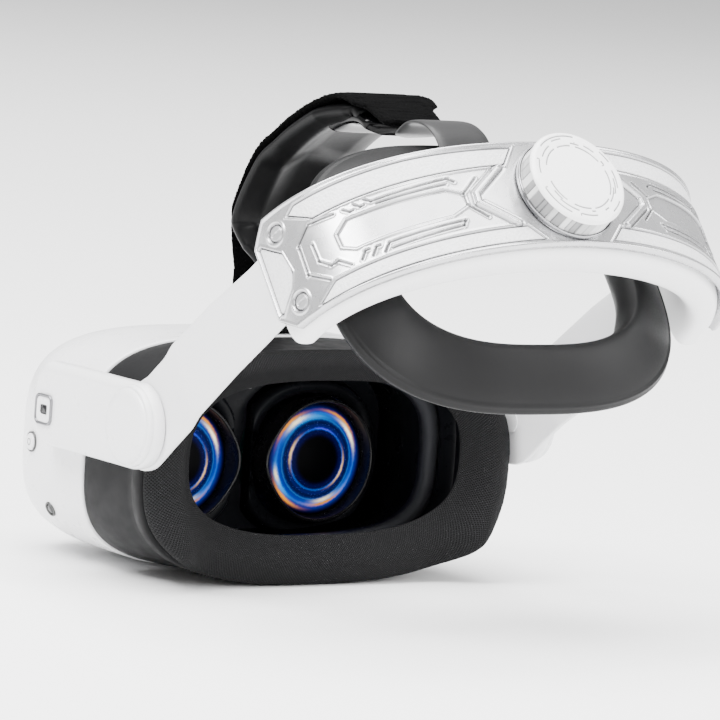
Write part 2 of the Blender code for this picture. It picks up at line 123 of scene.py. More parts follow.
# each light: its place, the point it faces, its width and height, and its power in watts
middle = (0, 0, 0.1)
lights = {
    "keyLight": ((1.2, 0.1, 1.5), middle, (0.8, 0.8), 62),
    "sideLight": ((0.2, 1.9, 0.9), middle, (0.6, 1.0), 34),
    "backLight": ((-1.3, 1.1, 0.7), middle, (0.5, 0.9), 18),
    "skyLight": ((0, 0, 5), (0, 0, 0), (5, 5), 900),
}
skyStrength = 0.85


def addLight(name, place, target, size, power):
    data = bpy.data.lights.new(name, "AREA")
    data.shape = "RECTANGLE"
    data.size, data.size_y = size
    data.energy = power
    thing = bpy.data.objects.new(name, data)
    bpy.context.collection.objects.link(thing)
    thing.location = place
    thing.rotation_euler = (Vector(target) - Vector(place)).to_track_quat("-Z", "Y").to_euler()


def addStudio():
    world = bpy.data.worlds.new("studio")
    world.use_nodes = True
    background = world.node_tree.nodes["Background"]
    background.inputs["Color"].default_value = (1, 1, 1, 1)
    background.inputs["Strength"].default_value = skyStrength
    bpy.context.scene.world = world
    for name, settings in lights.items():
        addLight(name, *settings)
    bpy.ops.mesh.primitive_plane_add(size=30)
    floor = bpy.context.object
    floor.name = "floor"
    mat = bpy.data.materials.new("floorPaper")
    mat.use_nodes = True
    shader = mat.node_tree.nodes["Principled BSDF"]
    shader.inputs["Base Color"].default_value = (0.93, 0.93, 0.93, 1)
    shader.inputs["Roughness"].default_value = 0.9
    floor.data.materials.append(mat)
    floor.location.z = -0.0005


addCamera()
addStudio()
print("camera and studio ready")


# a Principled material with short calls for wiring nodes
class Look:
    def __init__(self, name, colour, rough, metal=0.0, **sockets):
        self.mat = bpy.data.materials.new(name)
        self.mat.use_nodes = True
        self.tree = self.mat.node_tree
        self.shader = self.tree.nodes["Principled BSDF"]
        self.shader.inputs["Base Color"].default_value = (*colour, 1)
        self.shader.inputs["Roughness"].default_value = rough
        self.shader.inputs["Metallic"].default_value = metal
        for key, value in sockets.items():
            self.shader.inputs[key.replace("_", " ")].default_value = value

    def node(self, kind, settings=None, **inputs):
        made = self.tree.nodes.new(kind)
        for key, value in (settings or {}).items():
            setattr(made, key, value)
        for key, value in inputs.items():
            self.plug(made.inputs[int(key[1:])] if key[0] == "_" else made.inputs[key], value)
        return made

    def plug(self, socket, value):
        if isinstance(value, bpy.types.NodeSocket):
            self.tree.links.new(value, socket)
        else:
            socket.default_value = value

    def maths(self, operation, *values):
        made = self.tree.nodes.new("ShaderNodeMath")
        made.operation = operation
        for socket, value in zip(made.inputs, values):
            self.plug(socket, value)
        return made.outputs[0]

    def place(self, kind="Object"):
        return self.node("ShaderNodeTexCoord").outputs[kind]

    def noise(self, where, scale, detail=3.0, rough=0.5):
        made = self.node("ShaderNodeTexNoise", Vector=where, Scale=scale, Detail=detail, Roughness=rough)
        return made.outputs["Fac"]

    def cells(self, where, scale, feature="F1"):
        made = self.node("ShaderNodeTexVoronoi", {"feature": feature}, Vector=where, Scale=scale)
        return made.outputs["Distance"]

    def span(self, value, low, high, fromLow=0.0, fromHigh=1.0):
        made = self.node("ShaderNodeMapRange")
        for socket, each in zip(made.inputs, (value, fromLow, fromHigh, low, high)):
            self.plug(socket, each)
        return made.outputs[0]

    def blend(self, share, first, second, mode="MIX"):
        made = self.node("ShaderNodeMix", {"data_type": "RGBA", "blend_type": mode})
        self.plug(made.inputs[0], share)
        self.plug(made.inputs[6], first if isinstance(first, bpy.types.NodeSocket) else (*first, 1))
        self.plug(made.inputs[7], second if isinstance(second, bpy.types.NodeSocket) else (*second, 1))
        return made.outputs[2]

    def bump(self, height, strength, distance, below=None):
        made = self.node("ShaderNodeBump", Strength=strength, Distance=distance, Height=height)
        if below is not None:
            self.plug(made.inputs["Normal"], below)
        self.plug(self.shader.inputs["Normal"], made.outputs[0])
        return made.outputs[0]

    def colour(self, socket):
        self.plug(self.shader.inputs["Base Color"], socket)

    def rough(self, socket):
        self.plug(self.shader.inputs["Roughness"], socket)


def mouldedLook(name, colour, rough, metal=0.0, grain=2600.0, depth=0.00002, spread=0.06, **sockets):
    # moulded plastic: faint cloudy tone, fine grain and a slowly changing gloss
    look = Look(name, colour, rough, metal, **sockets)
    where = look.place()
    cloud = look.noise(where, 38.0, 4.0)
    low = tuple(c * (1 - spread) for c in colour)
    look.colour(look.blend(cloud, low, colour))
    fine = look.noise(where, grain, 2.0)
    look.rough(look.span(look.noise(where, 160.0, 3.0), rough * 0.86, rough * 1.14, 0.3, 0.7))
    look.bump(fine, 0.25, depth)
    return look


def leatherLook(name, colour, rough, grain=950.0, depth=0.00008, spread=0.25, **sockets):
    # grained skin: small cells over soft creases
    look = Look(name, colour, rough, **sockets)
    where = look.place()
    cell = look.cells(where, grain)
    crease = look.noise(where, grain * 0.22, 4.0)
    tone = look.noise(where, 45.0, 4.0)
    look.colour(look.blend(tone, tuple(c * (1 - spread) for c in colour),
                           tuple(c * (1 + spread) for c in colour)))
    height = look.maths("ADD", cell, look.maths("MULTIPLY", crease, 0.8))
    look.rough(look.span(cell, rough * 0.9, rough * 1.15, 0.0, 0.6))
    look.bump(height, 0.35, depth)
    return look


def knitLook():
    # face fabric: two diagonal sets of fine ribs, their crowns painted lighter as highlight and their
    # troughs darker as shade, and soft sheen
    look = Look("padKnit", (0.01, 0.01, 0.0105), 0.88, Specular_IOR_Level=0.08)
    pair = look.node("ShaderNodeSeparateXYZ", Vector=look.place("UV"))
    u = look.maths("MULTIPLY", pair.outputs[0], 2 * math.pi / 0.00115)
    v = look.maths("MULTIPLY", pair.outputs[1], 2 * math.pi / 0.00115)
    first = look.maths("SINE", look.maths("ADD", u, v))
    second = look.maths("SINE", look.maths("SUBTRACT", u, v))
    loops = look.maths("MAXIMUM", first, second)
    fuzz = look.noise(look.place(), 900.0, 2.0)
    height = look.maths("ADD", loops, look.maths("MULTIPLY", fuzz, 0.7))
    # painted light and shade: the colour follows the ribs' height, lighter on the crowns and darker in the
    # troughs
    tone = look.span(loops, 0.0, 1.0, -0.6, 1.0)
    dark = look.blend(look.noise(look.place(), 30.0, 4.0), (0.0022, 0.0022, 0.0023),
                      (0.0030, 0.0030, 0.0032))
    look.colour(look.blend(tone, dark, (0.0165, 0.0165, 0.0172)))
    look.bump(height, 0.75, 0.00028)
    return look


def loopFabricLook():
    # brushed loop fabric of the top strap: black, matt and slightly fuzzy
    look = Look("strapLoopFabric", (0.002, 0.002, 0.002), 0.95, Specular_IOR_Level=0.04)
    where = look.place()
    fuzz = look.noise(where, 1500.0, 4.0, 0.7)
    tuft = look.cells(where, 1100.0)
    look.colour(look.blend(fuzz, (0.0006, 0.0006, 0.0006), (0.0032, 0.0032, 0.0034)))
    look.bump(look.maths("ADD", fuzz, tuft), 0.9, 0.0003)
    return look


def pebbleLook():
    # the cover's textured strips: small crisp bumps on pearl paint, painted darker in the hollows between
    # them as shade
    look = Look("pebblePearl", (0.74, 0.74, 0.75), 0.5, 0.15)
    where = look.place()
    grains = look.cells(where, 1250.0, "SMOOTH_F1")
    fine = look.noise(where, 2600.0, 2.0)
    # painted shade: lighter on each bump's top, darker in the hollows between bumps
    look.colour(look.blend(grains, (0.82, 0.82, 0.83), (0.60, 0.60, 0.61)))
    look.bump(look.maths("SUBTRACT", look.maths("MULTIPLY", fine, 0.4), grains), 0.8, 0.00025)
    return look


def markedLook(name, colour, markColour, rough, metal=0.0, attribute="mark", **sockets):
    # a finish that darkens wherever the piece's own groove mark is set
    look = mouldedLook(name, colour, rough, metal, **sockets)
    mark = look.node("ShaderNodeAttribute", {"attribute_name": attribute}).outputs["Fac"]
    base = look.shader.inputs["Base Color"].links[0].from_socket
    look.colour(look.blend(mark, base, markColour))
    return look


def gridPiece(name, points, look, body, replaces=(), loopRows=False, loopColumns=False,
              capStart=False, capEnd=False, attributes=None):
    # skin a rows x columns grid of points; uv is the distance along each way in metres
    rows, columns = points.shape[:2]
    index = np.arange(rows * columns).reshape(rows, columns)
    nextRow = np.roll(index, -1, 0) if loopRows else index[1:]
    thisRow = index if loopRows else index[:-1]

    def across(table):
        return np.roll(table, -1, 1) if loopColumns else table[:, 1:]

    def keep(table):
        return table if loopColumns else table[:, :-1]

    quads = np.stack([keep(thisRow), keep(nextRow), across(nextRow), across(thisRow)], -1).reshape(-1, 4)
    flat = points.reshape(-1, 3)
    stepU = np.linalg.norm(np.roll(points, -1, 0) - points, axis=2).mean(1)
    stepV = np.linalg.norm(np.roll(points, -1, 1) - points, axis=2).mean(0)
    sumU = np.concatenate([[0], np.cumsum(stepU)])
    sumV = np.concatenate([[0], np.cumsum(stepV)])
    fi, fj = np.divmod(np.arange(len(quads)), keep(thisRow).shape[1])
    cornerU = np.stack([sumU[fi], sumU[fi + 1], sumU[fi + 1], sumU[fi]], 1)
    cornerV = np.stack([sumV[fj], sumV[fj], sumV[fj + 1], sumV[fj + 1]], 1)
    faces = [quads]
    uvs = [np.stack([cornerU, cornerV], 2).reshape(-1, 2)]
    extra = []
    for wanted, row in ((capStart, index[0]), (capEnd, index[-1][::-1])):
        if wanted:
            centre = len(flat) + len(extra)
            extra.append(flat[row].mean(0))
            ring = np.stack([row, np.roll(row, -1), np.full(len(row), centre)], 1)
            faces.append(ring)
            uvs.append(np.zeros((len(ring) * 3, 2)))
    if extra:
        flat = np.concatenate([flat, np.array(extra)])
    triangles = [np.concatenate([f[:, [0, 1, 2]],
                                 f[:, [0, 2, 3]]]) if f.shape[1] == 4 else f for f in faces]
    corners = flat[np.concatenate(triangles)]
    volume = np.einsum("ij,ij->i", corners[:, 0], np.cross(corners[:, 1], corners[:, 2])).sum()
    if volume < 0:
        faces = [f[:, ::-1] for f in faces]
        uvs = [u.reshape(len(f), -1, 2)[:, ::-1].reshape(-1, 2) for u, f in zip(uvs, faces)]
    mesh = bpy.data.meshes.new(name)
    mesh.from_pydata(flat.tolist(), [], [list(map(int, f)) for part in faces for f in part])
    layer = mesh.uv_layers.new(name="UVMap")
    layer.data.foreach_set("uv", np.concatenate(uvs).astype(np.float32).ravel())
    for key, values in (attributes or {}).items():
        made = mesh.attributes.new(key, "FLOAT", "POINT")
        full = np.zeros(len(flat), np.float32)
        full[:rows * columns] = np.asarray(values, np.float32).ravel()
        made.data.foreach_set("value", full)
    mesh.shade_smooth()
    piece = bpy.data.objects.new(name, mesh)
    piece.data.materials.append(look.mat)
    bpy.context.collection.objects.link(piece)
    if body:
        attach(piece, body)
    if replaces:
        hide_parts(*replaces)
    return piece


def closedPiece(name, points, look, body, replaces=()):
    # a grid closed both ways, like a ring
    return gridPiece(name, points, look, body, replaces, loopRows=True, loopColumns=True)


def cappedPiece(name, points, look, body, replaces=(), **more):
    # a grid closed round each row, with both ends filled
    return gridPiece(name, points, look, body, replaces, loopColumns=True, capStart=True, capEnd=True,
                     **more)


def evenly(curve, count, closed=True):
    # resample a dense curve so that its points stand the same distance apart
    whole = np.concatenate([curve, curve[:1]]) if closed else curve
    length = np.concatenate([[0], np.cumsum(np.linalg.norm(np.diff(whole, axis=0), axis=1))])
    at = np.linspace(0, length[-1], count + 1)[:-1] if closed else np.linspace(0, length[-1], count)
    return np.stack([np.interp(at, length, whole[:, k]) for k in range(whole.shape[1])], 1)


def ovalCurve(halfWidth, halfHeight, power, count):
    # superellipse: each half axis times the sine or cosine raised to two over the power
    t = fullTurn(6000)
    x = halfWidth * squared(np.cos(t), power)
    z = halfHeight * squared(np.sin(t), power)
    return evenly(np.stack([x, z], 1), count)


def roundedLoop(halfWidth, halfHeight, radius, count=48):
    # rounded rectangle around its own centre
    t = fullTurn(2000)
    x = np.sign(np.cos(t)) * (halfWidth - radius) + radius * np.cos(t)
    z = np.sign(np.sin(t)) * (halfHeight - radius) + radius * np.sin(t)
    return evenly(np.stack([x, z], 1), count)


def catmull(points, count):
    # smooth curve through a short list of points
    pts = np.array(points, float)
    padded = np.concatenate([2 * pts[:1] - pts[1:2], pts, 2 * pts[-1:] - pts[-2:-1]])
    at = np.linspace(0, len(pts) - 1, 2000)
    i = np.minimum(at.astype(int), len(pts) - 2)
    t = (at - i)[:, None]
    p0, p1, p2, p3 = (padded[i + k] for k in range(4))
    straight = (p2 - p0) * t
    bend = (2 * p0 - 5 * p1 + 4 * p2 - p3) * t**2
    twist = (3 * p1 - p0 - 3 * p2 + p3) * t**3
    line = 0.5 * (2 * p1 + straight + bend + twist)
    return evenly(line, count, closed=False)


def turned(name, profile, centre, axis, look, body, count=96, replaces=(), loop=True, **more):
    # a profile of (radius, distance along the axis) turned round an axis through centre
    axis = np.array(axis, float) / np.linalg.norm(axis)
    side = np.cross(axis, [0.0, 0.0, 1.0])
    side = side / np.linalg.norm(side)
    other = np.cross(axis, side)
    prof = np.array(profile, float)
    angle = fullTurn(count)
    ring = np.cos(angle)[:, None] * side + np.sin(angle)[:, None] * other
    points = prof[:, 0][:, None, None] * ring[None] + prof[:, 1][:, None, None] * axis + np.array(centre)
    return gridPiece(name, points, look, body, replaces, loopRows=loop, loopColumns=True,
                     capStart=not loop, capEnd=not loop, **more)


shellWhite = mouldedLook("shellWhite", (0.80, 0.80, 0.81), 0.30, spread=0.02, Coat_Weight=0.15)
armWhite = mouldedLook("armWhite", (0.74, 0.74, 0.75), 0.36, spread=0.02)
dimmed = dict(Specular_IOR_Level=0.08)
frameGrey = mouldedLook("frameGrey", (0.0085, 0.0085, 0.009), 0.5, grain=1900.0, depth=0.00004, spread=0.1,
                        **dimmed)
carrierGrey = mouldedLook("carrierGrey", (0.007, 0.007, 0.0075), 0.5, spread=0.2, **dimmed)
# the blue in this black's colour is a painted reflection on the glossy wall
wallBlack = mouldedLook("wallBlack", (0.0075, 0.0080, 0.0100), 0.30, spread=0.3, **dimmed)
barrelBlack = mouldedLook("barrelBlack", (0.009, 0.009, 0.010), 0.28, spread=0.3, Specular_IOR_Level=0.25)
innerGrey = mouldedLook("innerRimGrey", (0.040, 0.041, 0.046), 0.42, spread=0.1, **dimmed)
padKnit = knitLook()
linerSkin = leatherLook("linerSkin", (0.83, 0.83, 0.835), 0.5, grain=1300.0, depth=0.00007, spread=0.01)
cradleSkin = leatherLook("cradleSkin", (0.0075, 0.0075, 0.0078), 0.38, grain=1500.0, depth=0.00003,
                         Specular_IOR_Level=0.14)
strapSkin = leatherLook("strapSkin", (0.0032, 0.0032, 0.0034), 0.30, grain=1700.0, depth=0.00003,
                        Specular_IOR_Level=0.10)
tabSkin = leatherLook("tabSkin", (0.016, 0.016, 0.0165), 0.32, grain=1700.0, depth=0.00003,
                      Specular_IOR_Level=0.3)
strapFabric = loopFabricLook()
pebblePearl = pebbleLook()
# the cover's mark colour is painted shade in its grooves and wells
coverSilver = markedLook("coverSilver", (0.55, 0.55, 0.56), (0.035, 0.035, 0.037), 0.27, 0.8, spread=0.04)
dialGloss = markedLook("dialGloss", (0.93, 0.93, 0.93), (0.09, 0.09, 0.095), 0.20, spread=0.01,
                       Coat_Weight=0.3)
# its shade attribute paints light and shade on the grip's facets
knurlLook = markedLook("dialKnurl", (0.72, 0.72, 0.72), (0.08, 0.08, 0.083), 0.34, spread=0.05,
                       attribute="shade")
chromeLook = mouldedLook("bezelChrome", (0.30, 0.30, 0.31), 0.16, 1.0, spread=0.05)
screwSteel = mouldedLook("screwSteel", (0.55, 0.55, 0.56), 0.32, 0.7, spread=0.08)
steelLook = mouldedLook("brushedSteel", (0.45, 0.45, 0.47), 0.34, 1.0, spread=0.1)
glassBlack = mouldedLook("cameraGlass", (0.004, 0.004, 0.005), 0.08, spread=0.2)
rimGrey = mouldedLook("cameraRim", (0.05, 0.05, 0.05), 0.4, spread=0.2)
buckleBlack = mouldedLook("buckleGloss", (0.0015, 0.0015, 0.0018), 0.16, spread=0.2,
                          Specular_IOR_Level=0.15)
boardGreen = mouldedLook("boardGreen", (0.02, 0.13, 0.06), 0.5, spread=0.3)
foilGrey = mouldedLook("foilGrey", (0.30, 0.30, 0.32), 0.4, 0.6, spread=0.1)
socketMetal = mouldedLook("socketMetal", (0.20, 0.20, 0.21), 0.35, 0.8, spread=0.1)


def lensLook(name, centreX):
    # painted reflections: rings of light around a black pupil, given as emission though the lens is no
    # lamp; radius in millimetres and angle round the lens
    look = Look(name, (0.0003, 0.0004, 0.001), 0.40, Specular_IOR_Level=0.03)
    shift = look.node("ShaderNodeMapping", Vector=look.place())
    shift.inputs["Location"].default_value = (-centreX * 1000, 0, -eye[2] * 1000)
    shift.inputs["Scale"].default_value = (1000, 1000, 1000)
    parts = look.node("ShaderNodeSeparateXYZ", Vector=shift.outputs[0])
    x, z = parts.outputs[0], parts.outputs[2]
    x = look.maths("MULTIPLY", x, -1.0)  # seen from behind, the wearer's left is on the left
    radius = look.maths("SQRT",
                        look.maths("ADD", look.maths("MULTIPLY", x, x), look.maths("MULTIPLY", z, z)))
    angle = look.maths("ARCTAN2", z, x)
    grainy = look.noise(shift.outputs[0], 0.9, 3.0)
    wobble = look.maths("ADD", radius, look.maths("MULTIPLY", look.maths("SUBTRACT", grainy, 0.5), 0.7))

    def ring(at, width, source=wobble):
        # a soft bell across the radius
        off = look.maths("DIVIDE", look.maths("SUBTRACT", source, at), width)
        return look.maths("EXPONENT", look.maths("MULTIPLY", look.maths("MULTIPLY", off, off), -1.0))

    def sweep(centre, width):
        # a soft bell round the angle, through the cosine of the turn from its middle
        turn = look.maths("COSINE", look.maths("SUBTRACT", angle, math.radians(centre)))
        return look.maths("EXPONENT", look.maths("MULTIPLY", look.maths("SUBTRACT", turn, 1.0), 1 / width))

    def tinted(value, colour, strength):
        made = look.node("ShaderNodeVectorMath", {"operation": "SCALE"})
        made.inputs[0].default_value = colour
        look.plug(made.inputs["Scale"], look.maths("MULTIPLY", value, strength))
        return made.outputs[0]

    blue, gold, violet = (0.0, 0.075, 1.0), (1.0, 0.34, 0.01), (0.08, 0.02, 0.9)
    white, amber = (1.0, 0.86, 0.58), (1.0, 0.62, 0.26)
    # rows of radius, its width, direction in degrees, its spread, colour and strength
    coolRows = [
        (18.0, 1.9, None, None, blue, 0.50),
        (18.9, 0.55, None, None, (0.0, 0.26, 1.0), 0.40),
        (16.6, 0.35, None, None, (0.02, 0.40, 1.0), 0.30),
        (20.6, 1.4, None, None, (0.0, 0.03, 0.8), 0.20),
        (12.6, 0.40, None, None, (0.0, 0.16, 1.0), 0.55),
        (13.9, 0.9, None, None, (0.0, 0.03, 0.6), 0.25),
        (11.2, 1.2, None, None, (0.01, 0.01, 0.4), 0.16),
        (17.6, 0.9, 108, 0.16, (0.0, 0.50, 1.0), 1.0),
        (19.4, 0.8, 208, 0.06, (0.0, 0.45, 1.0), 1.4),
        (18.3, 1.1, 300, 0.12, (0.0, 0.36, 1.0), 0.8),
        (12.8, 0.45, 75, 0.10, violet, 0.8),
    ]
    hotRows = [
        (18.4, 0.75, 124, 0.03, white, 2.6),
        (20.0, 0.60, 133, 0.06, gold, 1.5),
        (18.9, 0.75, 33, 0.045, white, 3.0),
        (20.2, 0.55, 54, 0.07, gold, 1.6),
        (20.9, 0.65, 228, 0.06, gold, 2.0),
        (19.4, 0.6, 199, 0.010, white, 2.0),
        (17.4, 0.7, 288, 0.03, white, 1.8),
        (18.9, 0.6, 290, 0.08, gold, 1.2),
        (13.0, 0.5, 165, 0.07, amber, 1.7),
        (13.1, 0.45, -22, 0.10, amber, 1.6),
    ]

    def shaped(rows):
        out = []
        for at, width, centre, spread, colour, strength in rows:
            value = ring(at, width)
            if centre is not None:
                value = look.maths("MULTIPLY", value, sweep(centre, spread))
            out.append((value, colour, strength))
        return out

    def summed(layers):
        total = None
        for value, colour, strength in layers:
            part = tinted(value, colour, strength)
            if total is None:
                total = part
            else:
                total = look.node("ShaderNodeVectorMath", {"operation": "ADD"}, _0=total,
                                  _1=part).outputs[0]
        return total

    sparks = look.maths("LESS_THAN", look.cells(shift.outputs[0], 1.5), 0.13)
    sparkle = (look.maths("MULTIPLY", ring(13.6, 2.2), sparks), (0.26, 0.32, 1.0), 1.0)
    cool = shaped(coolRows) + [sparkle]
    hot = shaped(hotRows)
    # the bright arcs take the place of the blue under them
    share = hot[0][0]
    for value, _, _ in hot[1:]:
        share = look.maths("ADD", share, value)
    share = look.span(share, 1.0, 0.0, 0.0, 0.8)
    cooled = look.node("ShaderNodeVectorMath", {"operation": "SCALE"}, _0=summed(cool))
    look.plug(cooled.inputs["Scale"], share)
    total = look.node("ShaderNodeVectorMath", {"operation": "ADD"}, _0=cooled.outputs[0],
                      _1=summed(hot)).outputs[0]
    inside = look.maths("GREATER_THAN", radius, 9.0)
    edge = look.span(radius, 1.0, 0.0, 20.5, 23.0)
    faded = look.node("ShaderNodeVectorMath", {"operation": "SCALE"}, _0=total)
    look.plug(faded.inputs["Scale"], look.maths("MULTIPLY", inside, edge))
    # the painted reflections are emitted, so the lens glows without any lamp
    look.plug(look.shader.inputs["Emission Color"], faded.outputs[0])
    look.shader.inputs["Emission Strength"].default_value = 0.9
    return look


def buildEyes():
    rim = dict(radius=0.0246, nasal=0.0024, lip=0.0007, front=0.0016, wall=-0.0128, lens=0.0231)
    panel = dict(radius=0.0305, nose=0.0283, front=-0.0068, wall=-0.0126)
    count = 200
    angle = fullTurn(count)
    for sign, side in ((1, "left"), (-1, "right")):
        centre = eye + [sign * lensOffset, 0, 0]
        nasal = np.pi if sign > 0 else 0.0
        off = np.angle(np.exp(1j * (angle - nasal)))
        # the rim is round with a soft corner towards the nose
        outline = rim["radius"] + rim["nasal"] * bell(off, 0.42)
        outline = outline - 0.0006 * bell(off, 0.9)

        def loops(steps):
            rows = []
            for grow, y in steps:
                r = outline + grow if grow > -0.5 else np.full(count, rim["lens"])
                rows.append(np.stack([centre[0] + r * np.cos(angle), np.full(count, centre[1] + y),
                                      centre[2] + r * np.sin(angle)], 1))
            return np.array(rows)

        t = np.linspace(0, np.pi, 9)
        lip = [(rim["lip"] * math.cos(a), rim["front"] + rim["lip"] * math.sin(a)) for a in t]
        steps = [(0.0026, rim["wall"]), (0.0012, -0.004)] + lip + [(-0.0009, -0.0016), (-1, -0.0034),
                                                                    (-1, -0.0062), (0.0004, -0.0062),
                                                                   (0.0012, rim["wall"])]
        closedPiece("lensRim_" + side, loops(steps), barrelBlack, side + "_eye", ("lens_barrel_" + side,))
        curve = 0.0230 * np.sin(np.linspace(0.02, np.pi / 2, 40))
        face = [(r, -0.0008 - 0.0032 * (r / 0.0230) ** 2) for r in curve]
        back = [(0.0230, -0.0052), (0.0005, -0.0055)]
        # the lens face carries the painted reflections as emission
        turned("lens_" + side + "_painted_reflection", face + back, centre, (0, 1, 0),
               lensLook("lensPaintedReflection_" + side, centre[0]), side + "_eye", 160, ("lens_" + side,), loop=False)
        # a wider raised panel behind each rim
        flat = ovalCurve(panel["radius"], panel["radius"] * 0.98, 2.5, 160)
        rows = []
        for grow, y in ((0.0030, panel["wall"]), (0.0012, panel["front"] - 0.0008),
                        (0.0004, panel["front"]),
                        (-0.0006, panel["front"]), (-0.0040, panel["front"] - 0.0012),
                        (-0.0040, panel["wall"])):
            share = 1 + grow / panel["radius"]
            # cut straight beside the nose, so that the two panels never meet
            wide = sign * np.maximum(sign * flat[:, 0] * share, -panel["nose"])
            rows.append(fromEye(sign * lensOffset + wide, y, flat[:, 1] * share))
        closedPiece("lensPanel_" + side, np.array(rows), wallBlack, side + "_eye")


visor = dict(width=0.084, height=0.0465, middle=0.0055, power=3.4, seam=0.008, depth=0.074, nose=4.5,
             wall=0.0024)


def buildShell():
    outline = ovalCurve(visor["width"], visor["height"], visor["power"], 320)
    half = visor["nose"]
    depths = np.linspace(0, 0.88, 26)
    scales = (1 - depths**half) ** (1 / half)
    tail = np.linspace(scales[-1], 0.01, 30)[1:]
    scales = np.concatenate([scales, tail])
    depths = np.concatenate([depths, (1 - tail**half) ** (1 / half)])
    inner = []
    for inset, s, d in [(visor["wall"], a, b) for a, b in zip(scales[::-4], depths[::-4])]:
        ring = outline * (1 - inset / visor["width"]) * s
        inner.append(fromEye(ring[:, 0], visor["seam"] - (visor["depth"] - inset) * d,
                             visor["middle"] + ring[:, 1]))
    lip = []
    for inset, back in ((visor["wall"], 0.0), (0.0016, 0.0), (0.0004, -0.0001), (0.0, -0.0006)):
        ring = outline * (1 - inset / visor["width"])
        lip.append(fromEye(ring[:, 0], visor["seam"] + back, visor["middle"] + ring[:, 1]))
    outer = []
    for s, d in zip(scales[1:], depths[1:]):
        ring = outline * s
        outer.append(fromEye(ring[:, 0], visor["seam"] - visor["depth"] * d, visor["middle"] + ring[:, 1]))
    cappedPiece("frontShell", np.array(inner + lip + outer), shellWhite, "visor", ("front_shell",))


def visorRings(unit, steps):
    # one outline scaled to each half width and half height, at each depth
    return np.array([fromEye(unit[:, 0] * w, y, visor["middle"] + unit[:, 1] * h) for w, h, y in steps])


def buildMidFrame():
    outline = ovalCurve(visor["width"], visor["height"], visor["power"], 320)
    rounder = ovalCurve(visor["width"], visor["height"], 2.95, 320)
    profile = [(0.0012, 0.0086), (0.0006, 0.0089), (0.0005, 0.0100), (0.0007, 0.0200), (0.0012, 0.0320),
               (0.0017, 0.0385), (0.0020, 0.0410), (0.0014, 0.0432), (0.0006, 0.0446), (0.0006, 0.0490),
               (0.0010, 0.0500), (0.0018, 0.0505), (0.0044, 0.0505), (0.0044, 0.0086)]
    rows = []
    for inset, y in profile:
        share = smooth((y - 0.012) / 0.036)
        ring = (outline * (1 - share) + rounder * share) * [1 - inset / visor["width"],
                                                            1 - inset / visor["height"]]
        rows.append(fromEye(ring[:, 0], y, visor["middle"] + ring[:, 1]))
    closedPiece("midFrame", np.array(rows), frameGrey, "visor", ("mid_frame",))
    carrier = [(0.0785, 0.0410, 0.0405), (0.0785, 0.0410, 0.0500), (0.0727, 0.0367, 0.0500),
               (0.0717, 0.0358, 0.0493),
               (0.0715, 0.0355, 0.0405)]
    unit = ovalCurve(1.0, 0.52, visor["power"], 240) / [1.0, 0.52]
    closedPiece("padCarrier", visorRings(unit, carrier), carrierGrey, "visor", ("pad_carrier",))
    # the black wall between the lenses and the carrier, open in the middle
    wall = [(0.0785, 0.0410, -0.0120), (0.0785, 0.0410, 0.0398), (0.0772, 0.0400, 0.0398),
            (0.0735, 0.0375, 0.0305),
            (0.0715, 0.0360, 0.0160), (0.0700, 0.0350, -0.0120)]
    closedPiece("innerWall", visorRings(unit, wall), wallBlack, "visor")
    # a plain grey rim stands inside it
    rim = [(0.0730, 0.0372, 0.0215), (0.0728, 0.0370, 0.0272), (0.0700, 0.0345, 0.0280),
           (0.0672, 0.0322, 0.0276),
           (0.0668, 0.0318, 0.0215)]
    closedPiece("innerRim", visorRings(unit, rim), innerGrey, "visor")


def buildFacePad():
    pad = dict(outer=(0.0854, 0.0464), inner=(0.0642, 0.0305), front=0.0508, back=0.0535, rise=0.0090,
               shift=0.0036, lobe=0.0085)
    around, across = 420, 56
    unit = ovalCurve(1.0, 0.54, 2.75, around) / [1.0, 0.54]
    psi = fullTurn(across)
    # crowned cross-section: share runs from the inner to the outer edge, lift from front to back
    share = 0.5 + 0.5 * squared(np.cos(psi), 2.5)
    lift = 0.5 + 0.5 * squared(np.sin(psi), 2.2)
    width = pad["inner"][0] + (pad["outer"][0] - pad["inner"][0]) * share
    height = pad["inner"][1] + (pad["outer"][1] - pad["inner"][1]) * share
    x = unit[:, 0][None] * width[:, None]
    z = visor["middle"] + unit[:, 1][None] * height[:, None] + pad["shift"] * (1 - share)[:, None]
    side = smooth((np.abs(x) - 0.050) / 0.024)
    # soft lobes stand out under the cheekbones
    lobe = bell(np.abs(x) - 0.0745, 0.0110) * bell(z + 0.034, 0.0130)
    brow = bell(x, 0.030) * (z > 0)
    back = pad["back"] + pad["rise"] * side + pad["lobe"] * lobe - 0.0015 * brow
    crown = 0.0030 * np.sin(np.pi * share)[:, None] ** 1.5
    lean = (0.40 + 0.60 * smooth(share / 0.55))[:, None]  # the inner wall leans outward
    lean = 1 - (1 - lean) * side
    y = pad["front"] + (back + crown - pad["front"]) * lift[:, None] * lean
    # the cover is gathered along its outer seam
    angle = fullTurn(around)
    seam = bell(lift - 0.16, 0.05) * (share > 0.8)
    x = x - np.sign(x) * 0.0005 * seam[:, None] * np.abs(unit[:, 0])[None]
    y = y + 0.00012 * (np.sin(angle * 97) * np.sin(angle * 31 + 1.3))[None] * share[:, None]
    piece = closedPiece("facePad", fromEye(x, y, z), padKnit, "visor", ("face_pad",))


def stadiumCurve(front, rear, halfHeight, corner, count=200):
    # round about the pivot at the rear, rounded corners at the front
    t = np.linspace(-np.pi / 2, np.pi / 2, 300)
    back = np.stack([rear + halfHeight * np.cos(t), halfHeight * np.sin(t)], 1)
    a = np.linspace(0, np.pi / 2, 120)
    top = np.stack([front + corner - corner * np.sin(a), halfHeight - corner + corner * np.cos(a)], 1)
    low = top[::-1] * [1, -1]
    return evenly(np.concatenate([back, top, low]), count)


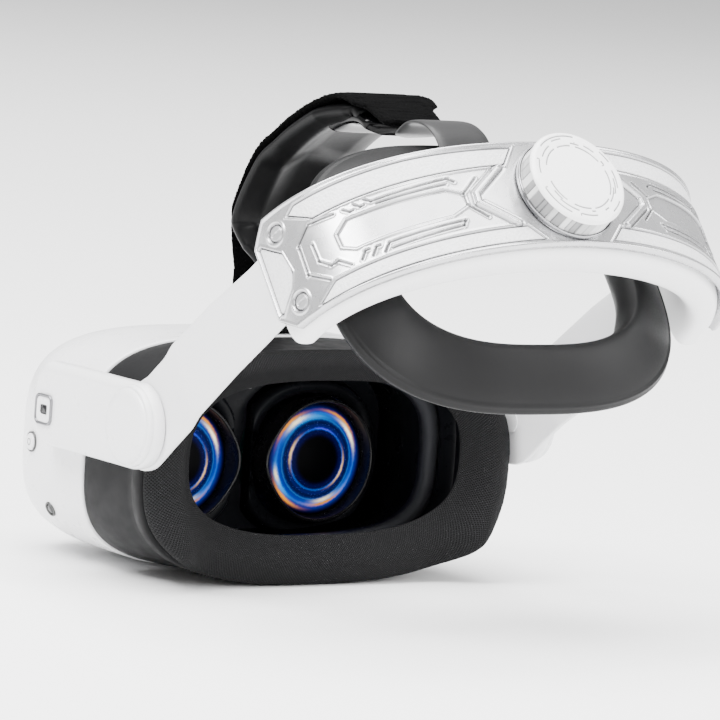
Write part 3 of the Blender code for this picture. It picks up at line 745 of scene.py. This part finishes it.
def buildPods():
    pod = dict(inner=0.0844, step=0.0889, outer=0.0952, front=-0.014, half=0.0165, corner=0.0095,
               edge=0.0042)
    t = np.linspace(0, np.pi / 2, 12)
    for sign, side in ((1, "left"), (-1, "right")):
        rows = []
        short = stadiumCurve(pod["front"] + 0.001, 0.0175, 0.0155, 0.008)
        for x in (pod["inner"] - 0.0002, pod["step"] - 0.0002):
            rows.append((x, short))

        def full(inset):
            return stadiumCurve(pod["front"] + inset, pivotY, pod["half"] - inset,
                                pod["corner"] - inset * 0.7)

        for x, inset in ((pod["step"], 0.0006), (pod["step"] + 0.0004, 0.0)):
            rows.append((x, full(inset)))
        for a in t:
            x = pod["outer"] - pod["edge"] * 0.75 * (1 - math.sin(a))
            rows.append((x, full(pod["edge"] * (1 - math.cos(a)))))
        points = np.array([fromEye(sign * x, ring[:, 0], pivotZ + ring[:, 1]) for x, ring in rows])
        cappedPiece("pod_" + side + "_shell", points, shellWhite, "visor", ("pod_" + side,))
        place = eye + [sign * pod["outer"], pivotY, pivotZ]
        cap = [(0.0158, -0.0020), (0.0158, 0.0000), (0.0155, 0.0006), (0.0150, 0.0010), (0.0147, 0.0009)]
        cap += [(0.0145, 0.0009), (0.0143, 0.0013), (0.0136, 0.0019), (0.0120, 0.00235), (0.0080, 0.0026),
                (0.0003, 0.0027)]
        turned("hingeCap_" + side, cap, place, (sign, 0, 0), shellWhite, "visor", 120,
               ("hinge_cap_" + side,), loop=False)


def buildSocket():
    low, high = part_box("port_bezel")
    middle = np.array([(low.y + high.y) / 2, (low.z + high.z) / 2])
    face = high.x + 0.0011

    def rows(steps):
        out = []
        for w, h, r, x in steps:
            loop = roundedLoop(w, h, r, 96)
            out.append(np.stack([np.full(96, x), middle[0] + loop[:, 0], middle[1] + loop[:, 1]], 1))
        return np.array(out)

    rim = [(0.0060, 0.0060, 0.0028, face - 0.002), (0.0060, 0.0060, 0.0028, face + 0.0002),
           (0.0056, 0.0056, 0.0026, face + 0.0004), (0.0052, 0.0052, 0.0024, face + 0.0001),
           (0.0051, 0.0051, 0.0023, face - 0.0005), (0.0050, 0.0050, 0.0022, face - 0.0022)]
    closedPiece("socketRim", rows(rim), socketMetal, "visor", ("port_bezel",))
    plate = [(0.0050, 0.0050, 0.0022, face - 0.0012), (0.0050, 0.0050, 0.0022, face - 0.00015),
             (0.0046, 0.0046, 0.0020, face), (0.0030, 0.0021, 0.0012, face),
             (0.0028, 0.0019, 0.0011, face - 0.0004),
             (0.0028, 0.0019, 0.0011, face - 0.0012)]
    closedPiece("socketPlate", rows(plate), shellWhite, "visor")
    tongue = [(0.0028, 0.0019, 0.0011, face - 0.0014), (0.0028, 0.0019, 0.0011, face - 0.0006)]
    cappedPiece("socketWell", rows(tongue), barrelBlack, "visor")


def buildButtonsAndCameras():
    low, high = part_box("power_button")
    centre = np.array([high.x, (low.y + high.y) / 2, (low.z + high.z) / 2])
    tilt = (1, -0.10, -0.02)
    disc = [(0.0034, -0.003), (0.0034, 0.0000), (0.0031, 0.0005), (0.0020, 0.0006), (0.0003, 0.0006)]
    turned("powerButton", disc, centre, tilt, shellWhite, "button", 64, ("power_button",), loop=False)
    groove = [(0.0041, -0.0012), (0.0041, -0.0001), (0.0036, -0.0001), (0.0036, -0.0012)]
    turned("powerGroove", groove, centre, tilt, rimGrey, "visor", 64)
    mark = [(0.0014, 0.00055), (0.0014, 0.00068), (0.0011, 0.00068), (0.0011, 0.00055)]
    turned("powerRing", mark, centre, tilt, rimGrey, "button", 48)
    for sign, side in ((1, "left"), (-1, "right")):
        ring = [(0.0031, -0.004), (0.0031, 0.0000), (0.0028, 0.0003), (0.0024, 0.0001), (0.0023, -0.0005),
                (0.0023, -0.004)]
        axis = (sign, -0.04, -0.52)
        centre = fromEye(sign * 0.0803, -0.0200, -0.0213)
        turned("sideCameraRim_" + side, ring, centre, axis, rimGrey, "visor", 64)
        glass = [(0.0023, -0.004), (0.0023, -0.0004), (0.0016, 0.0), (0.0008, 0.0002), (0.0002, 0.0002)]
        turned("sideCamera_" + side + "_glass", glass, centre, axis, glassBlack, "visor", 64,
               ("side_camera_" + side,),
               loop=False)
        low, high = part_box("front_camera_" + side)
        centre = [(low.x + high.x) / 2, low.y, (low.z + high.z) / 2]
        axis = (sign * 0.32, -1, 0.30)
        ring = [(0.0058, -0.005), (0.0058, 0.0012), (0.0050, 0.0016), (0.0043, 0.0012), (0.0042, 0.0002),
                (0.0042, -0.005)]
        turned("frontCameraRim_" + side, ring, centre, axis, rimGrey, "visor", 64)
        glass = [(0.0042, -0.005), (0.0042, 0.0002), (0.0030, 0.0007), (0.0012, 0.0010), (0.0002, 0.0010)]
        turned("frontCamera_" + side + "_glass", glass, centre, axis, glassBlack, "visor", 64,
               ("front_camera_" + side,), loop=False)


def buildArms():
    arm = dict(near=0.0856, thick=0.0030, step=0.0020, foot=0.0172)
    u = np.concatenate([-arm["foot"] * np.cos(np.linspace(0.04, np.pi / 2, 40)),
                        np.linspace(0.0006, 0.1165, 150)])
    disc = np.sqrt(np.clip(arm["foot"] ** 2 - u**2, 0, None))
    lowEdge = np.interp(u, [0, 0.012, 0.066, 0.094, 0.1165], [-0.0172, -0.0170, -0.0172, -0.0183, -0.0189])
    highEdge = np.interp(u, [0, 0.012, 0.035, 0.066, 0.094, 0.1165],
                         [0.0172, 0.0148, 0.0146, 0.0134, 0.0104, 0.0096])
    low = np.where(u < 0, -disc, lowEdge)
    high = np.where(u < 0, disc, highEdge)
    out = arm["step"] * smooth((u - 0.0235) / 0.014)
    t = fullTurn(64)
    # nearly flat faces with soft edges
    cx = squared(np.cos(t), 4.0)
    cz = squared(np.sin(t), 16.0)
    middle = arm["near"] + arm["thick"] / 2 + out
    v = (low + high)[:, None] / 2 + (high - low)[:, None] / 2 * cz[None]
    for sign, side in ((1, "left"), (-1, "right")):
        x = sign * (middle[:, None] + arm["thick"] / 2 * cx[None])
        cappedPiece("arm_" + side + "_blade", fromStrap(x, u[:, None], v, pivot), armWhite, "strap_arms",
                    ("arm_" + side,))


band = dict(start=0.1085, width=0.097, depth=0.0625, power=2.3, z=-0.0035, droop=0.0034, half=0.0228,
            plate=0.0024,
            inner=(0.082, 0.0425))


def bandCurve(width, depth, count=4000):
    # quarter turns of a superellipse from the middle of the back to one end
    t = np.linspace(0, np.pi / 2, count)
    x = width * np.sin(t) ** (2 / band["power"])
    u = band["start"] + depth * np.cos(t) ** (2 / band["power"])
    s = np.concatenate([[0], np.cumsum(np.hypot(np.diff(x), np.diff(u)))])
    return t, x, u, s


def onBand(s, w, out=0.0):
    # a point of the cover: s along the curve, w up from its middle line, out square to it
    t, x, u, length = bandCurve(band["width"], band["depth"])
    a = np.abs(s)
    px, pu, turn = np.interp(a, length, x), np.interp(a, length, u), np.interp(a, length, t)
    nx = np.interp(a, length, np.gradient(-u, length))
    nu = np.interp(a, length, np.gradient(x, length))
    nx[a < 0.004] = 0
    size = np.hypot(nx, nu)
    nx, nu = nx / size, nu / size
    drop = band["droop"] * np.sin(turn) ** 1.2
    return fromStrap(np.sign(s) * (px + nx * out), pu + nu * out, band["z"] + w - drop)


def segmentDistance(s, w, a, b):
    # distance from every grid point to the straight line from a to b
    d = np.array(b, float) - a
    t = np.clip(((s - a[0]) * d[0] + (w - a[1]) * d[1]) / (d @ d), 0, 1)
    return np.hypot(s - a[0] - t * d[0], w - a[1] - t * d[1])


def polygonInside(s, w, corners):
    # how far inside a convex outline each point is; negative outside
    pts = np.array(corners, float)
    area = np.sum(pts[:, 0] * np.roll(pts[:, 1], -1) - np.roll(pts[:, 0], -1) * pts[:, 1])
    if area < 0:
        pts = pts[::-1]
    best = np.full(np.broadcast(s, w).shape, 1e9)
    for a, b in zip(pts, np.roll(pts, -1, 0)):
        d = (b - a) / np.linalg.norm(b - a)
        best = np.minimum(best, d[0] * (w - a[1]) - d[1] * (s - a[0]))
    return best


# outlines of the cover's relief in millimetres: (along the band, up from its middle)
relief = dict(
    panels=[
        [(107.7, 17.4), (98.6, 11.2), (22.2, 12.6), (17.0, 19.6), (60.0, 20.4), (104.0, 19.9)],
        [(106.3, -21.0), (98.0, -15.4), (21.6, -13.6), (15.6, -19.8), (60.0, -20.6), (104.0, -21.4)],
        [(125.4, 13.6), (124.0, 13.8), (115.4, 6.2), (113.4, -3.0), (116.0, -8.6), (123.6, -14.4),
         (125.2, -13.6)],
    ],
    channel=[(92.0, 0.8), (87.0, 5.0), (49.0, 5.2), (42.5, 2.4), (42.5, -2.6), (49.0, -5.6), (87.0, -7.2),
             (91.6, -4.6)],
    lines=[
        [(101.0, 9.8), (91.0, 8.8)],
        [(107.4, 4.2), (107.4, -8.0), (99.8, -14.2)],
        [(107.4, 4.2), (101.0, 9.8)],
        [(102.0, 1.8), (101.6, -5.6), (97.7, -9.4), (94.6, -9.0), (90.6, -12.6)],
        [(87.2, 8.8), (85.0, 7.0), (83.6, 7.2)], [(83.0, 9.2), (80.8, 7.4), (79.4, 7.6)],
        [(79.0, 9.8), (76.6, 8.0), (47.0, 9.4), (44.6, 7.6)],
        [(75.0, 6.6), (48.0, 7.2)],
        [(86.4, -12.6), (84.2, -9.6), (82.8, -9.7)], [(82.2, -12.8), (80.0, -9.7), (78.6, -9.8)],
        [(77.6, -13.0), (75.2, -9.9), (45.2, -8.6), (46.6, -10.6), (74.6, -12.4)],
        [(42.5, 2.4), (36.0, 8.0)], [(42.5, -2.6), (36.0, -8.6)],
    ],
    ridges=[[(24.8, 11.6), (37.6, 1.7), (37.9, -2.3), (24.8, -12.2)]],
    screws=[(114.9, 14.4), (113.9, -15.0)],
)


def coverRelief(s, w, half):
    # height and groove mark in metres and shares, from distances given in millimetres; the mark is painted
    # shade, darkening the grooves, the channel edge, the ridge edges and the screw wells
    height = np.zeros(s.shape)
    mark = np.zeros(s.shape)
    edge = half - np.abs(w)
    end = 128.0 - np.clip(np.abs(w) - 15.0, 0, None) * 1.1 - s
    rim = np.minimum(edge, end * 0.8)
    height += 0.35 * (1 - smooth((rim - 1.3) / 0.5))  # a raised rim round the edge
    height -= 0.9 * (1 - smooth(rim / 0.9)) ** 2
    for corners in relief["panels"]:
        inside = polygonInside(s, w, corners)
        height -= 0.55 * smooth((inside + 0.1) / 0.5)
        groove = bell(inside - 0.15, 0.36)
        height -= 0.30 * groove
        mark = np.maximum(mark, 0.95 * groove)
        height += 0.22 * bell(inside + 0.75, 0.35)
    inside = polygonInside(s, w, relief["channel"])
    height -= 0.50 * smooth((inside + 0.3) / 0.9)
    height += 0.20 * bell(inside + 0.6, 0.35)
    mark = np.maximum(mark, 0.75 * bell(inside - 0.3, 0.34))
    for line in relief["lines"]:
        for a, b in zip(line[:-1], line[1:]):
            near = segmentDistance(s, w, a, b)
            height -= 0.32 * bell(near, 0.34)
            height += 0.10 * bell(near - 0.8, 0.3)
            mark = np.maximum(mark, 0.95 * bell(near, 0.45))
    for line in relief["ridges"]:
        near = np.min([segmentDistance(s, w, a, b) for a, b in zip(line[:-1], line[1:])], 0)
        height += 0.75 * (1 - smooth((near - 0.5) / 0.9))
        mark = np.maximum(mark, 0.8 * bell(near - 1.7, 0.35))
        height -= 0.25 * bell(near - 1.8, 0.4)
    for centre in relief["screws"]:
        far = np.hypot(s - centre[0], w - centre[1])
        height -= 1.1 * (1 - smooth((far - 3.2) / 0.4))
        height += 0.25 * bell(far - 4.4, 0.4)
        mark = np.maximum(mark, 0.7 * bell(far - 3.4, 0.3))
    return height * 1.5 / 1000, mark


def halfHeight(s):
    # the cover is a little taller towards its ends
    return 0.0224 + 0.0009 * smooth(np.abs(s) / 0.09)


def buildCover():
    rows, columns = 540, 150
    share = np.linspace(0, 1, rows) ** 0.96
    level = np.linspace(-1, 1, columns)
    for sign, side in ((1, "left"), (-1, "right")):
        w = level[None] * halfHeight(share * 0.128)[:, None]
        reach = 0.1280 - np.clip(np.abs(w) - 0.0150, 0, None) * 1.1
        s = share[:, None] * reach
        height, mark = coverRelief(s * 1000, w * 1000, halfHeight(s) * 1000)
        face = onBand(sign * np.maximum(s, 1e-6), w, height)
        lips = []
        for column, outs in ((0, (-band["plate"], -0.0012)), (-1, (-0.0012, -band["plate"]))):
            for out in outs:
                lips.append(onBand(sign * np.maximum(s[:, column], 1e-6), w[:, column],
                                   np.full(rows, out))[:, None])
        points = np.concatenate([lips[0], lips[1], face, lips[2], lips[3]], 1)
        # marks carry the painted groove shade, none on the side lips
        marks = np.pad(mark, ((0, 0), (2, 2)))
        cappedPiece("bandCover_" + side, points, coverSilver, "rear_band", ("band_cover",),
                    attributes={"mark": marks})


def buildStrips():
    # textured patches: a grid stretched over each panel between its upper and lower edges
    names = (("upper", "trim_upper_"), ("lower", "trim_lower_"), ("end", "end_plate_"))
    for sign, side in ((1, "left"), (-1, "right")):
        for corners, (row, node) in zip(relief["panels"], names):
            pts = np.array(corners, float)
            s = np.linspace(pts[:, 0].min() + 0.5, pts[:, 0].max() - 0.5, 180 if row != "end" else 40)
            low, high = panelSpan(pts, s)
            share = np.linspace(0, 1, 20)
            w = (low[:, None] + 0.45) + (high - low - 0.9)[:, None] * share[None]
            top = onBand(sign * np.repeat(s[:, None], 20, 1) / 1000, w / 1000, np.full(w.shape, -0.00030))
            under = onBand(sign * np.repeat(s[:, None], 20, 1) / 1000, w / 1000, np.full(w.shape, -0.0010))
            points = np.concatenate([top, under[:, ::-1]], 1)
            cappedPiece("strip_" + row + "_" + side, points, pebblePearl, "rear_band", (node + side,))


def panelSpan(corners, s):
    # lowest and highest edge of a convex outline at each place along it
    low = np.full(len(s), 1e9)
    high = np.full(len(s), -1e9)
    for a, b in zip(corners, np.roll(corners, -1, 0)):
        if abs(a[0] - b[0]) < 1e-9:
            continue
        t = (s - a[0]) / (b[0] - a[0])
        w = np.where((t >= -1e-6) & (t <= 1 + 1e-6), a[1] + (b[1] - a[1]) * t, np.nan)
        low = np.fmin(low, w)
        high = np.fmax(high, w)
    return low, np.maximum(high, low + 0.95)


def buildScrews():
    for sign, side in ((1, "left"), (-1, "right")):
        for (s, w), row in zip(relief["screws"], ("upper", "lower")):
            base, top = onBand(sign * np.array([s, s]) / 1000, np.full(2, w / 1000),
                               np.array([-0.0010, 0.0]))
            axis = (top - base) / np.linalg.norm(top - base)
            side1 = upward
            side2 = np.cross(axis, side1)
            r = np.linspace(0.0001, 1, 26) ** 0.8 * 0.0030
            a = fullTurn(96)
            p, q = r[:, None] * np.cos(a), r[:, None] * np.sin(a)
            turn = 0.12
            slotAcross = np.abs(p * math.sin(turn) + q * math.cos(turn))
            slotAlong = np.abs(p * math.cos(turn) - q * math.sin(turn))
            dip = 0.0006 * (1 - smooth((slotAcross - 0.00030) / 0.00015)) * (slotAlong < 0.0021)
            h = 0.0008 - 0.0005 * smooth((r - 0.0025) / 0.0005)[:, None] - dip
            head = base + p[..., None] * side2 + q[..., None] * side1 + h[..., None] * axis
            wall = head[-1:] - 0.0016 * axis
            cappedPiece("screw_" + row + "_" + side + "_head", np.concatenate([head, wall]), screwSteel,
                        "rear_band", ("screw_" + row + "_" + side,))


def buildLiner():
    outer = (band["width"] - band["plate"] - 0.0004, band["depth"] - band["plate"] - 0.0004)
    inner = band["inner"]
    stations = 220
    a = np.linspace(-1, 1, stations)
    angle = a * np.pi / 2
    top, low = band["half"] - 0.0004, -band["half"] - 0.0014
    t = fullTurn(56)
    # the section is a soft rounded box between the cover and the inner face
    cx = 0.5 + 0.5 * squared(np.cos(t), 3.4)
    cz = squared(np.sin(t), 6.0)
    width = inner[0] + (outer[0] - inner[0]) * cx
    depth = inner[1] + (outer[1] - inner[1]) * cx
    ends = smooth((1 - np.abs(a)) / 0.012) ** 0.5
    ends[0] = ends[-1] = 0.55
    sine = np.abs(np.sin(angle)) ** (2 / band["power"])
    cosine = np.abs(np.cos(angle)) ** (2 / band["power"])
    midW, midD = (inner[0] + outer[0]) / 2, (inner[1] + outer[1]) / 2
    w = midW + (width[None] - midW) * ends[:, None]
    d = midD + (depth[None] - midD) * ends[:, None]
    x = np.sign(angle)[:, None] * w * sine[:, None]
    u = band["start"] + d * cosine[:, None]
    drop = band["droop"] * np.abs(np.sin(angle)) ** 1.2
    height = (top - low) / 2 * cz[None] * (0.8 + 0.2 * ends[:, None]) + (top + low) / 2
    v = band["z"] + height - drop[:, None]
    cappedPiece("bandLiner", fromStrap(x, u, v), linerSkin, "rear_band", ("band_liner",))


def buildDial():
    dial = dict(radius=0.0199, base=0.1728, face=0.1813, edge=0.0016, inner=0.0136)
    centre = fromStrap(np.array(0.0), np.array(0.0), np.array(band["z"]))
    side1, side2 = np.array([1.0, 0, 0]), upward
    # flat face with broken rings cut into it
    r = np.concatenate([np.linspace(0.00005, 0.0095, 8),
                        np.linspace(0.0100, dial["radius"] - dial["edge"], 110)])
    a = fullTurn(640)
    degrees = np.degrees(a)
    mark = np.zeros((len(r), len(a)))
    arcs = [(0.0136, 20, 62), (0.0136, 68, 96), (0.0136, 104, 150), (0.0136, 166, 214), (0.0136, 222, 262),
            (0.0136, 268, 300), (0.0136, 312, 352), (0.0148, 96, 112), (0.0148, 150, 158),
            (0.0148, 196, 226),
            (0.0148, 262, 270), (0.0148, 318, 336), (0.0156, 32, 58), (0.0156, 118, 136),
            (0.0156, 180, 206),
            (0.0156, 236, 246), (0.0156, 290, 322), (0.0166, 4, 26), (0.0166, 66, 84), (0.0166, 168, 196),
            (0.0166, 262, 288), (0.0178, 46, 104), (0.0178, 140, 158), (0.0178, 214, 236),
            (0.0178, 300, 344)]
    for radius, first, last in arcs:
        span = smooth((degrees - first) / 1.2) * smooth((last - degrees) / 1.2)
        mark = np.maximum(mark, bell(r[:, None] - radius, 0.00030) * span[None])
    for place, inner, outer in ((26, 0.0166, 0.0178), (104, 0.0148, 0.0156), (206, 0.0148, 0.0156),
                                (288, 0.0166, 0.0178), (344, 0.0166, 0.0178), (158, 0.0136, 0.0148)):
        turn = bell(degrees - place, 0.9)[None]
        mark = np.maximum(mark, turn * ((r > inner) & (r < outer))[:, None])
    face = np.full(mark.shape, dial["face"]) - 0.00022 * mark
    t = np.linspace(0, np.pi / 2, 8)[1:]
    edgeR = dial["radius"] - dial["edge"] + dial["edge"] * np.sin(t)
    edgeU = dial["face"] - dial["edge"] * (1 - np.cos(t))
    allR = np.concatenate([r, edgeR, [0.0170, 0.0168]])
    rest = np.concatenate([edgeU, [dial["face"] - 0.0030, dial["base"]]])
    allU = np.concatenate([face, np.repeat(rest[:, None], len(a), 1)])
    marks = np.concatenate([mark, np.zeros((len(rest), len(a)))])
    spoke = np.cos(a)[:, None] * side1 + np.sin(a)[:, None] * side2
    points = centre + allR[:, None, None] * spoke[None] + allU[..., None] * along
    cappedPiece("dialFace", points, dialGloss, "dial", ("fit_dial",), attributes={"mark": marks})
    # the grip: blocks of unequal width stand at different depths round the side
    rng = np.random.default_rng(7)
    edges = np.cumsum(rng.uniform(5.5, 12.5, 60))
    edges = edges[edges < 354]
    block = np.searchsorted(edges, degrees)
    depthOf = rng.uniform(0.0, 0.00055, len(edges) + 1)
    # painted shade: each block gets a random darkness for how its facet takes the light
    shadeOf = rng.choice([0.0, 0.12, 0.25, 0.5, 0.75], len(edges) + 1)
    gap = np.min(np.abs(degrees[:, None] - edges[None]), 1)
    cut = bell(gap, 0.55) * 0.00035
    rows = np.linspace(dial["base"], dial["face"] - 0.0012, 22)
    mid = (rows - rows[0]) / (rows[-1] - rows[0])
    fade = smooth(np.minimum(mid, 1 - mid) * 9)[:, None]
    body = dial["radius"] - 0.0001 - (depthOf[block] + cut)[None] * fade
    inner = np.full(len(a), 0.0166)
    radii = np.concatenate([inner[None], body, inner[None]])
    place = np.concatenate([[rows[0]], rows, [rows[-1]]])
    # the cuts between blocks are painted darker still, as shade
    shade = np.repeat((shadeOf[block] + 0.25 * bell(gap, 0.7))[None], len(place), 0)
    points = centre + radii[..., None] * spoke[None] + place[:, None, None] * along
    gridPiece("dialGrip", points, knurlLook, "dial", (), loopRows=True, loopColumns=True,
              attributes={"shade": shade})
    t = fullTurn(20)
    ring = [(0.0203 + 0.0004 * math.cos(k), 0.1722 + 0.0011 * math.sin(k)) for k in t]
    turned("dialBezelRing", ring, centre, along, chromeLook, "rear_band", 200, ("dial_bezel",))
    well = [(0.0202, 0.1704), (0.0202, 0.1722), (0.0165, 0.1722), (0.0165, 0.1704)]
    turned("dialWell", well, centre, along, wallBlack, "rear_band", 160)


def buildCradle():
    cradle = dict(outer=(0.0770, 0.0584, 0.1152), inner=(0.0556, 0.0366, 0.1290), z=-0.006, thick=0.0031)
    around, across = 300, 64
    t = fullTurn(across)
    share = 0.5 + 0.5 * squared(np.cos(t), 2.2)
    bulge = squared(np.sin(t), 2.6)
    # a fine raised piping runs near the outer edge on the rear face
    piping = 0.0006 * bell(share - 0.90, 0.018) * (bulge > 0)
    slope = np.array([cradle["outer"][0] - cradle["inner"][0], cradle["outer"][2] - cradle["inner"][2]])
    slope = slope / np.linalg.norm(slope)
    unit = ovalCurve(1.0, 0.74, 2.8, around) / [1.0, 0.74]
    # the front face is deeper at the sides, where the ring wraps round the head
    deeper = 1 + 3.0 * smooth((np.abs(unit[:, 0]) - 0.55) / 0.40)[None] * (bulge < 0)[:, None]
    push = (cradle["thick"] * bulge + piping)[:, None] * deeper

    def mix(k):
        return (cradle["inner"][k] + (cradle["outer"][k] - cradle["inner"][k]) * share)[:, None]

    x = unit[:, 0][None] * (mix(0) - slope[1] * push)
    v = cradle["z"] + unit[:, 1][None] * (mix(1) - slope[1] * push)
    u = mix(2) + slope[0] * push
    piece = closedPiece("cradleRing", fromStrap(x, u, v), cradleSkin, "rear_band", ("cradle_ring",))


def ribbonPoints(line, halfWidth, low, high, columns=40, groove=None):
    # carry a rounded strip section along a path in the middle plane
    ahead = np.gradient(line, axis=0)
    ahead = ahead / np.linalg.norm(ahead, axis=1)[:, None]
    out = np.stack([-ahead[:, 1], ahead[:, 0]], 1)
    t = fullTurn(columns)
    cx = squared(np.cos(t), 7.0)
    cz = squared(np.sin(t), 2.2)
    x = halfWidth[:, None] * cx[None]
    rise = low + (high - low) * (0.5 + 0.5 * cz)[None]
    rise = rise + (groove(cx, cz, np.linspace(0, 1, len(line))[:, None]) if groove else 0)
    yz = line[:, None] + rise[..., None] * out[:, None]
    return x, yz[..., 0], yz[..., 1]


topPath = [(0.0005, 0.0560), (-0.0010, 0.0750), (0.0035, 0.0985), (0.0173, 0.1235), (0.0312, 0.1341),
           (0.0440, 0.1418),
           (0.0593, 0.1485), (0.0745, 0.1512), (0.0940, 0.1432)]


def buildTopStrap():
    line = catmull(topPath, 280)
    share = np.linspace(0, 1, len(line))
    half = np.interp(share, [0, 0.14, 0.30, 0.80, 0.875, 0.91, 0.93, 0.985, 1.0],
                     [0.0130, 0.0135, 0.0205, 0.0213, 0.0213, 0.0200, 0.0155, 0.0146, 0.0135])
    x, y, z = ribbonPoints(line, half, 0.0, 0.0023, 44)
    rng = np.random.default_rng(3)
    fray = rng.normal(0, 0.00018, x.shape)
    fabric = cappedPiece("strapFabric", fromEye(x + fray, y + fray * 0.6, z + fray), strapFabric, None,
                         ("top_strap_fabric",))
    line = catmull([(0.0130, 0.0805)] + topPath[2:8] + [(0.0800, 0.1492)], 240) - [0, 0.0002]
    share = np.linspace(0, 1, len(line))
    half = np.interp(share, [0, 0.05, 0.15, 0.80, 0.93, 1.0],
                     [0.0150, 0.0190, 0.0217, 0.0220, 0.0185, 0.0150])

    def channel(cx, cz, at):
        # a deep moulded channel along the middle with a raised rib beside it, on the inner face only
        under = (cz < 0)[None]
        fade = smooth(at / 0.10) * smooth((1 - at) / 0.12)
        hollow = 0.0036 * bell(cx[None] - 0.10, 0.20)
        rib = 0.0016 * bell(cx[None] - 0.62, 0.22)
        return under * (hollow - rib) * fade

    x, y, z = ribbonPoints(line, half, -0.0068, -0.0004, 84, groove=channel)
    liner = cappedPiece("strapLiner", fromEye(x, y, z), strapSkin, None, ("top_strap_liner",))
    # a glossy end plate holds the liner's rear end
    line = catmull([(0.0590, 0.1405), (0.0690, 0.1440), (0.0780, 0.1445), (0.0860, 0.1415)], 50)
    share = np.linspace(0, 1, len(line))
    half = 0.0150 * np.sqrt(np.clip(1 - np.clip((share - 0.85) / 0.15, 0, 1) ** 2 * 0.5, 0, 1))
    x, y, z = ribbonPoints(line, half, -0.0030, 0.0030, 48)
    plate = cappedPiece("strapPlate", fromEye(x, y, z), buckleBlack, None)
    for piece in (fabric, liner, plate):
        tuple(fromEye(0, 0.0, 0.085))
        tuple(fromEye(0, 0.085, 0.150))
        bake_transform(piece)
    # its front end reaches in under the fabric
    back = catmull([(0.1296, 0.0405), (0.1290, 0.0500), (0.1245, 0.0585), (0.1166, 0.0645),
                    (0.1078, 0.0662),
                    (0.1007, 0.0697)], 120)
    share = np.linspace(0, 1, len(back))
    half = 0.0122 * np.sqrt(np.clip(1 - np.clip((share - 0.72) / 0.28, 0, 1) ** 2, 0.0004, 1))
    x, u, v = ribbonPoints(back, half, 0.0, 0.0020, 40)
    cappedPiece("rearTab", fromStrap(x, u, v), tabSkin, "rear_band", ("rear_tab",))
    # the bar that the tab folds around
    loop = roundedLoop(0.0014, 0.0018, 0.0012, 32)
    span = np.array([-0.0163, -0.0158, 0.0158, 0.0163])
    grow = np.array([0.6, 1.0, 1.0, 0.6])
    points = fromStrap(span[:, None] + 0 * loop[:, 0], 0.1310 + grow[:, None] * loop[:, 0],
                       0.0402 + grow[:, None] * loop[:, 1])
    cappedPiece("strapBar", points, buckleBlack, "rear_band", ("strap_buckle",))


def dressFrame():
    # nodes whose own shape is right get a finish of their own
    table = {"main_board": boardGreen, "battery": foilGrey, "cooling_fan": barrelBlack,
             "display_left": glassBlack,
             "display_right": glassBlack, "proximity_sensor": glassBlack, "pivot_pin_left": armWhite,
             "pivot_pin_right": armWhite, "pinion": steelLook, "rack_left": steelLook,
             "rack_right": steelLook,
             "lens_baffle": wallBlack, "strap_anchor": buckleBlack, "volume_rocker": shellWhite,
             "cradle_mount_left": frameGrey, "cradle_mount_right": frameGrey}
    for node, look in table.items():
        thing = frame["nodes"][node]
        thing.data.materials.clear()
        thing.data.materials.append(look.mat)


for stage in (buildShell, buildMidFrame, buildFacePad, buildEyes, buildPods, buildSocket,
              buildButtonsAndCameras,
              buildArms, buildCover, buildStrips, buildScrews, buildLiner, buildDial, buildCradle,
              buildTopStrap,
              dressFrame):
    stage()
    print(stage.__name__, "done")
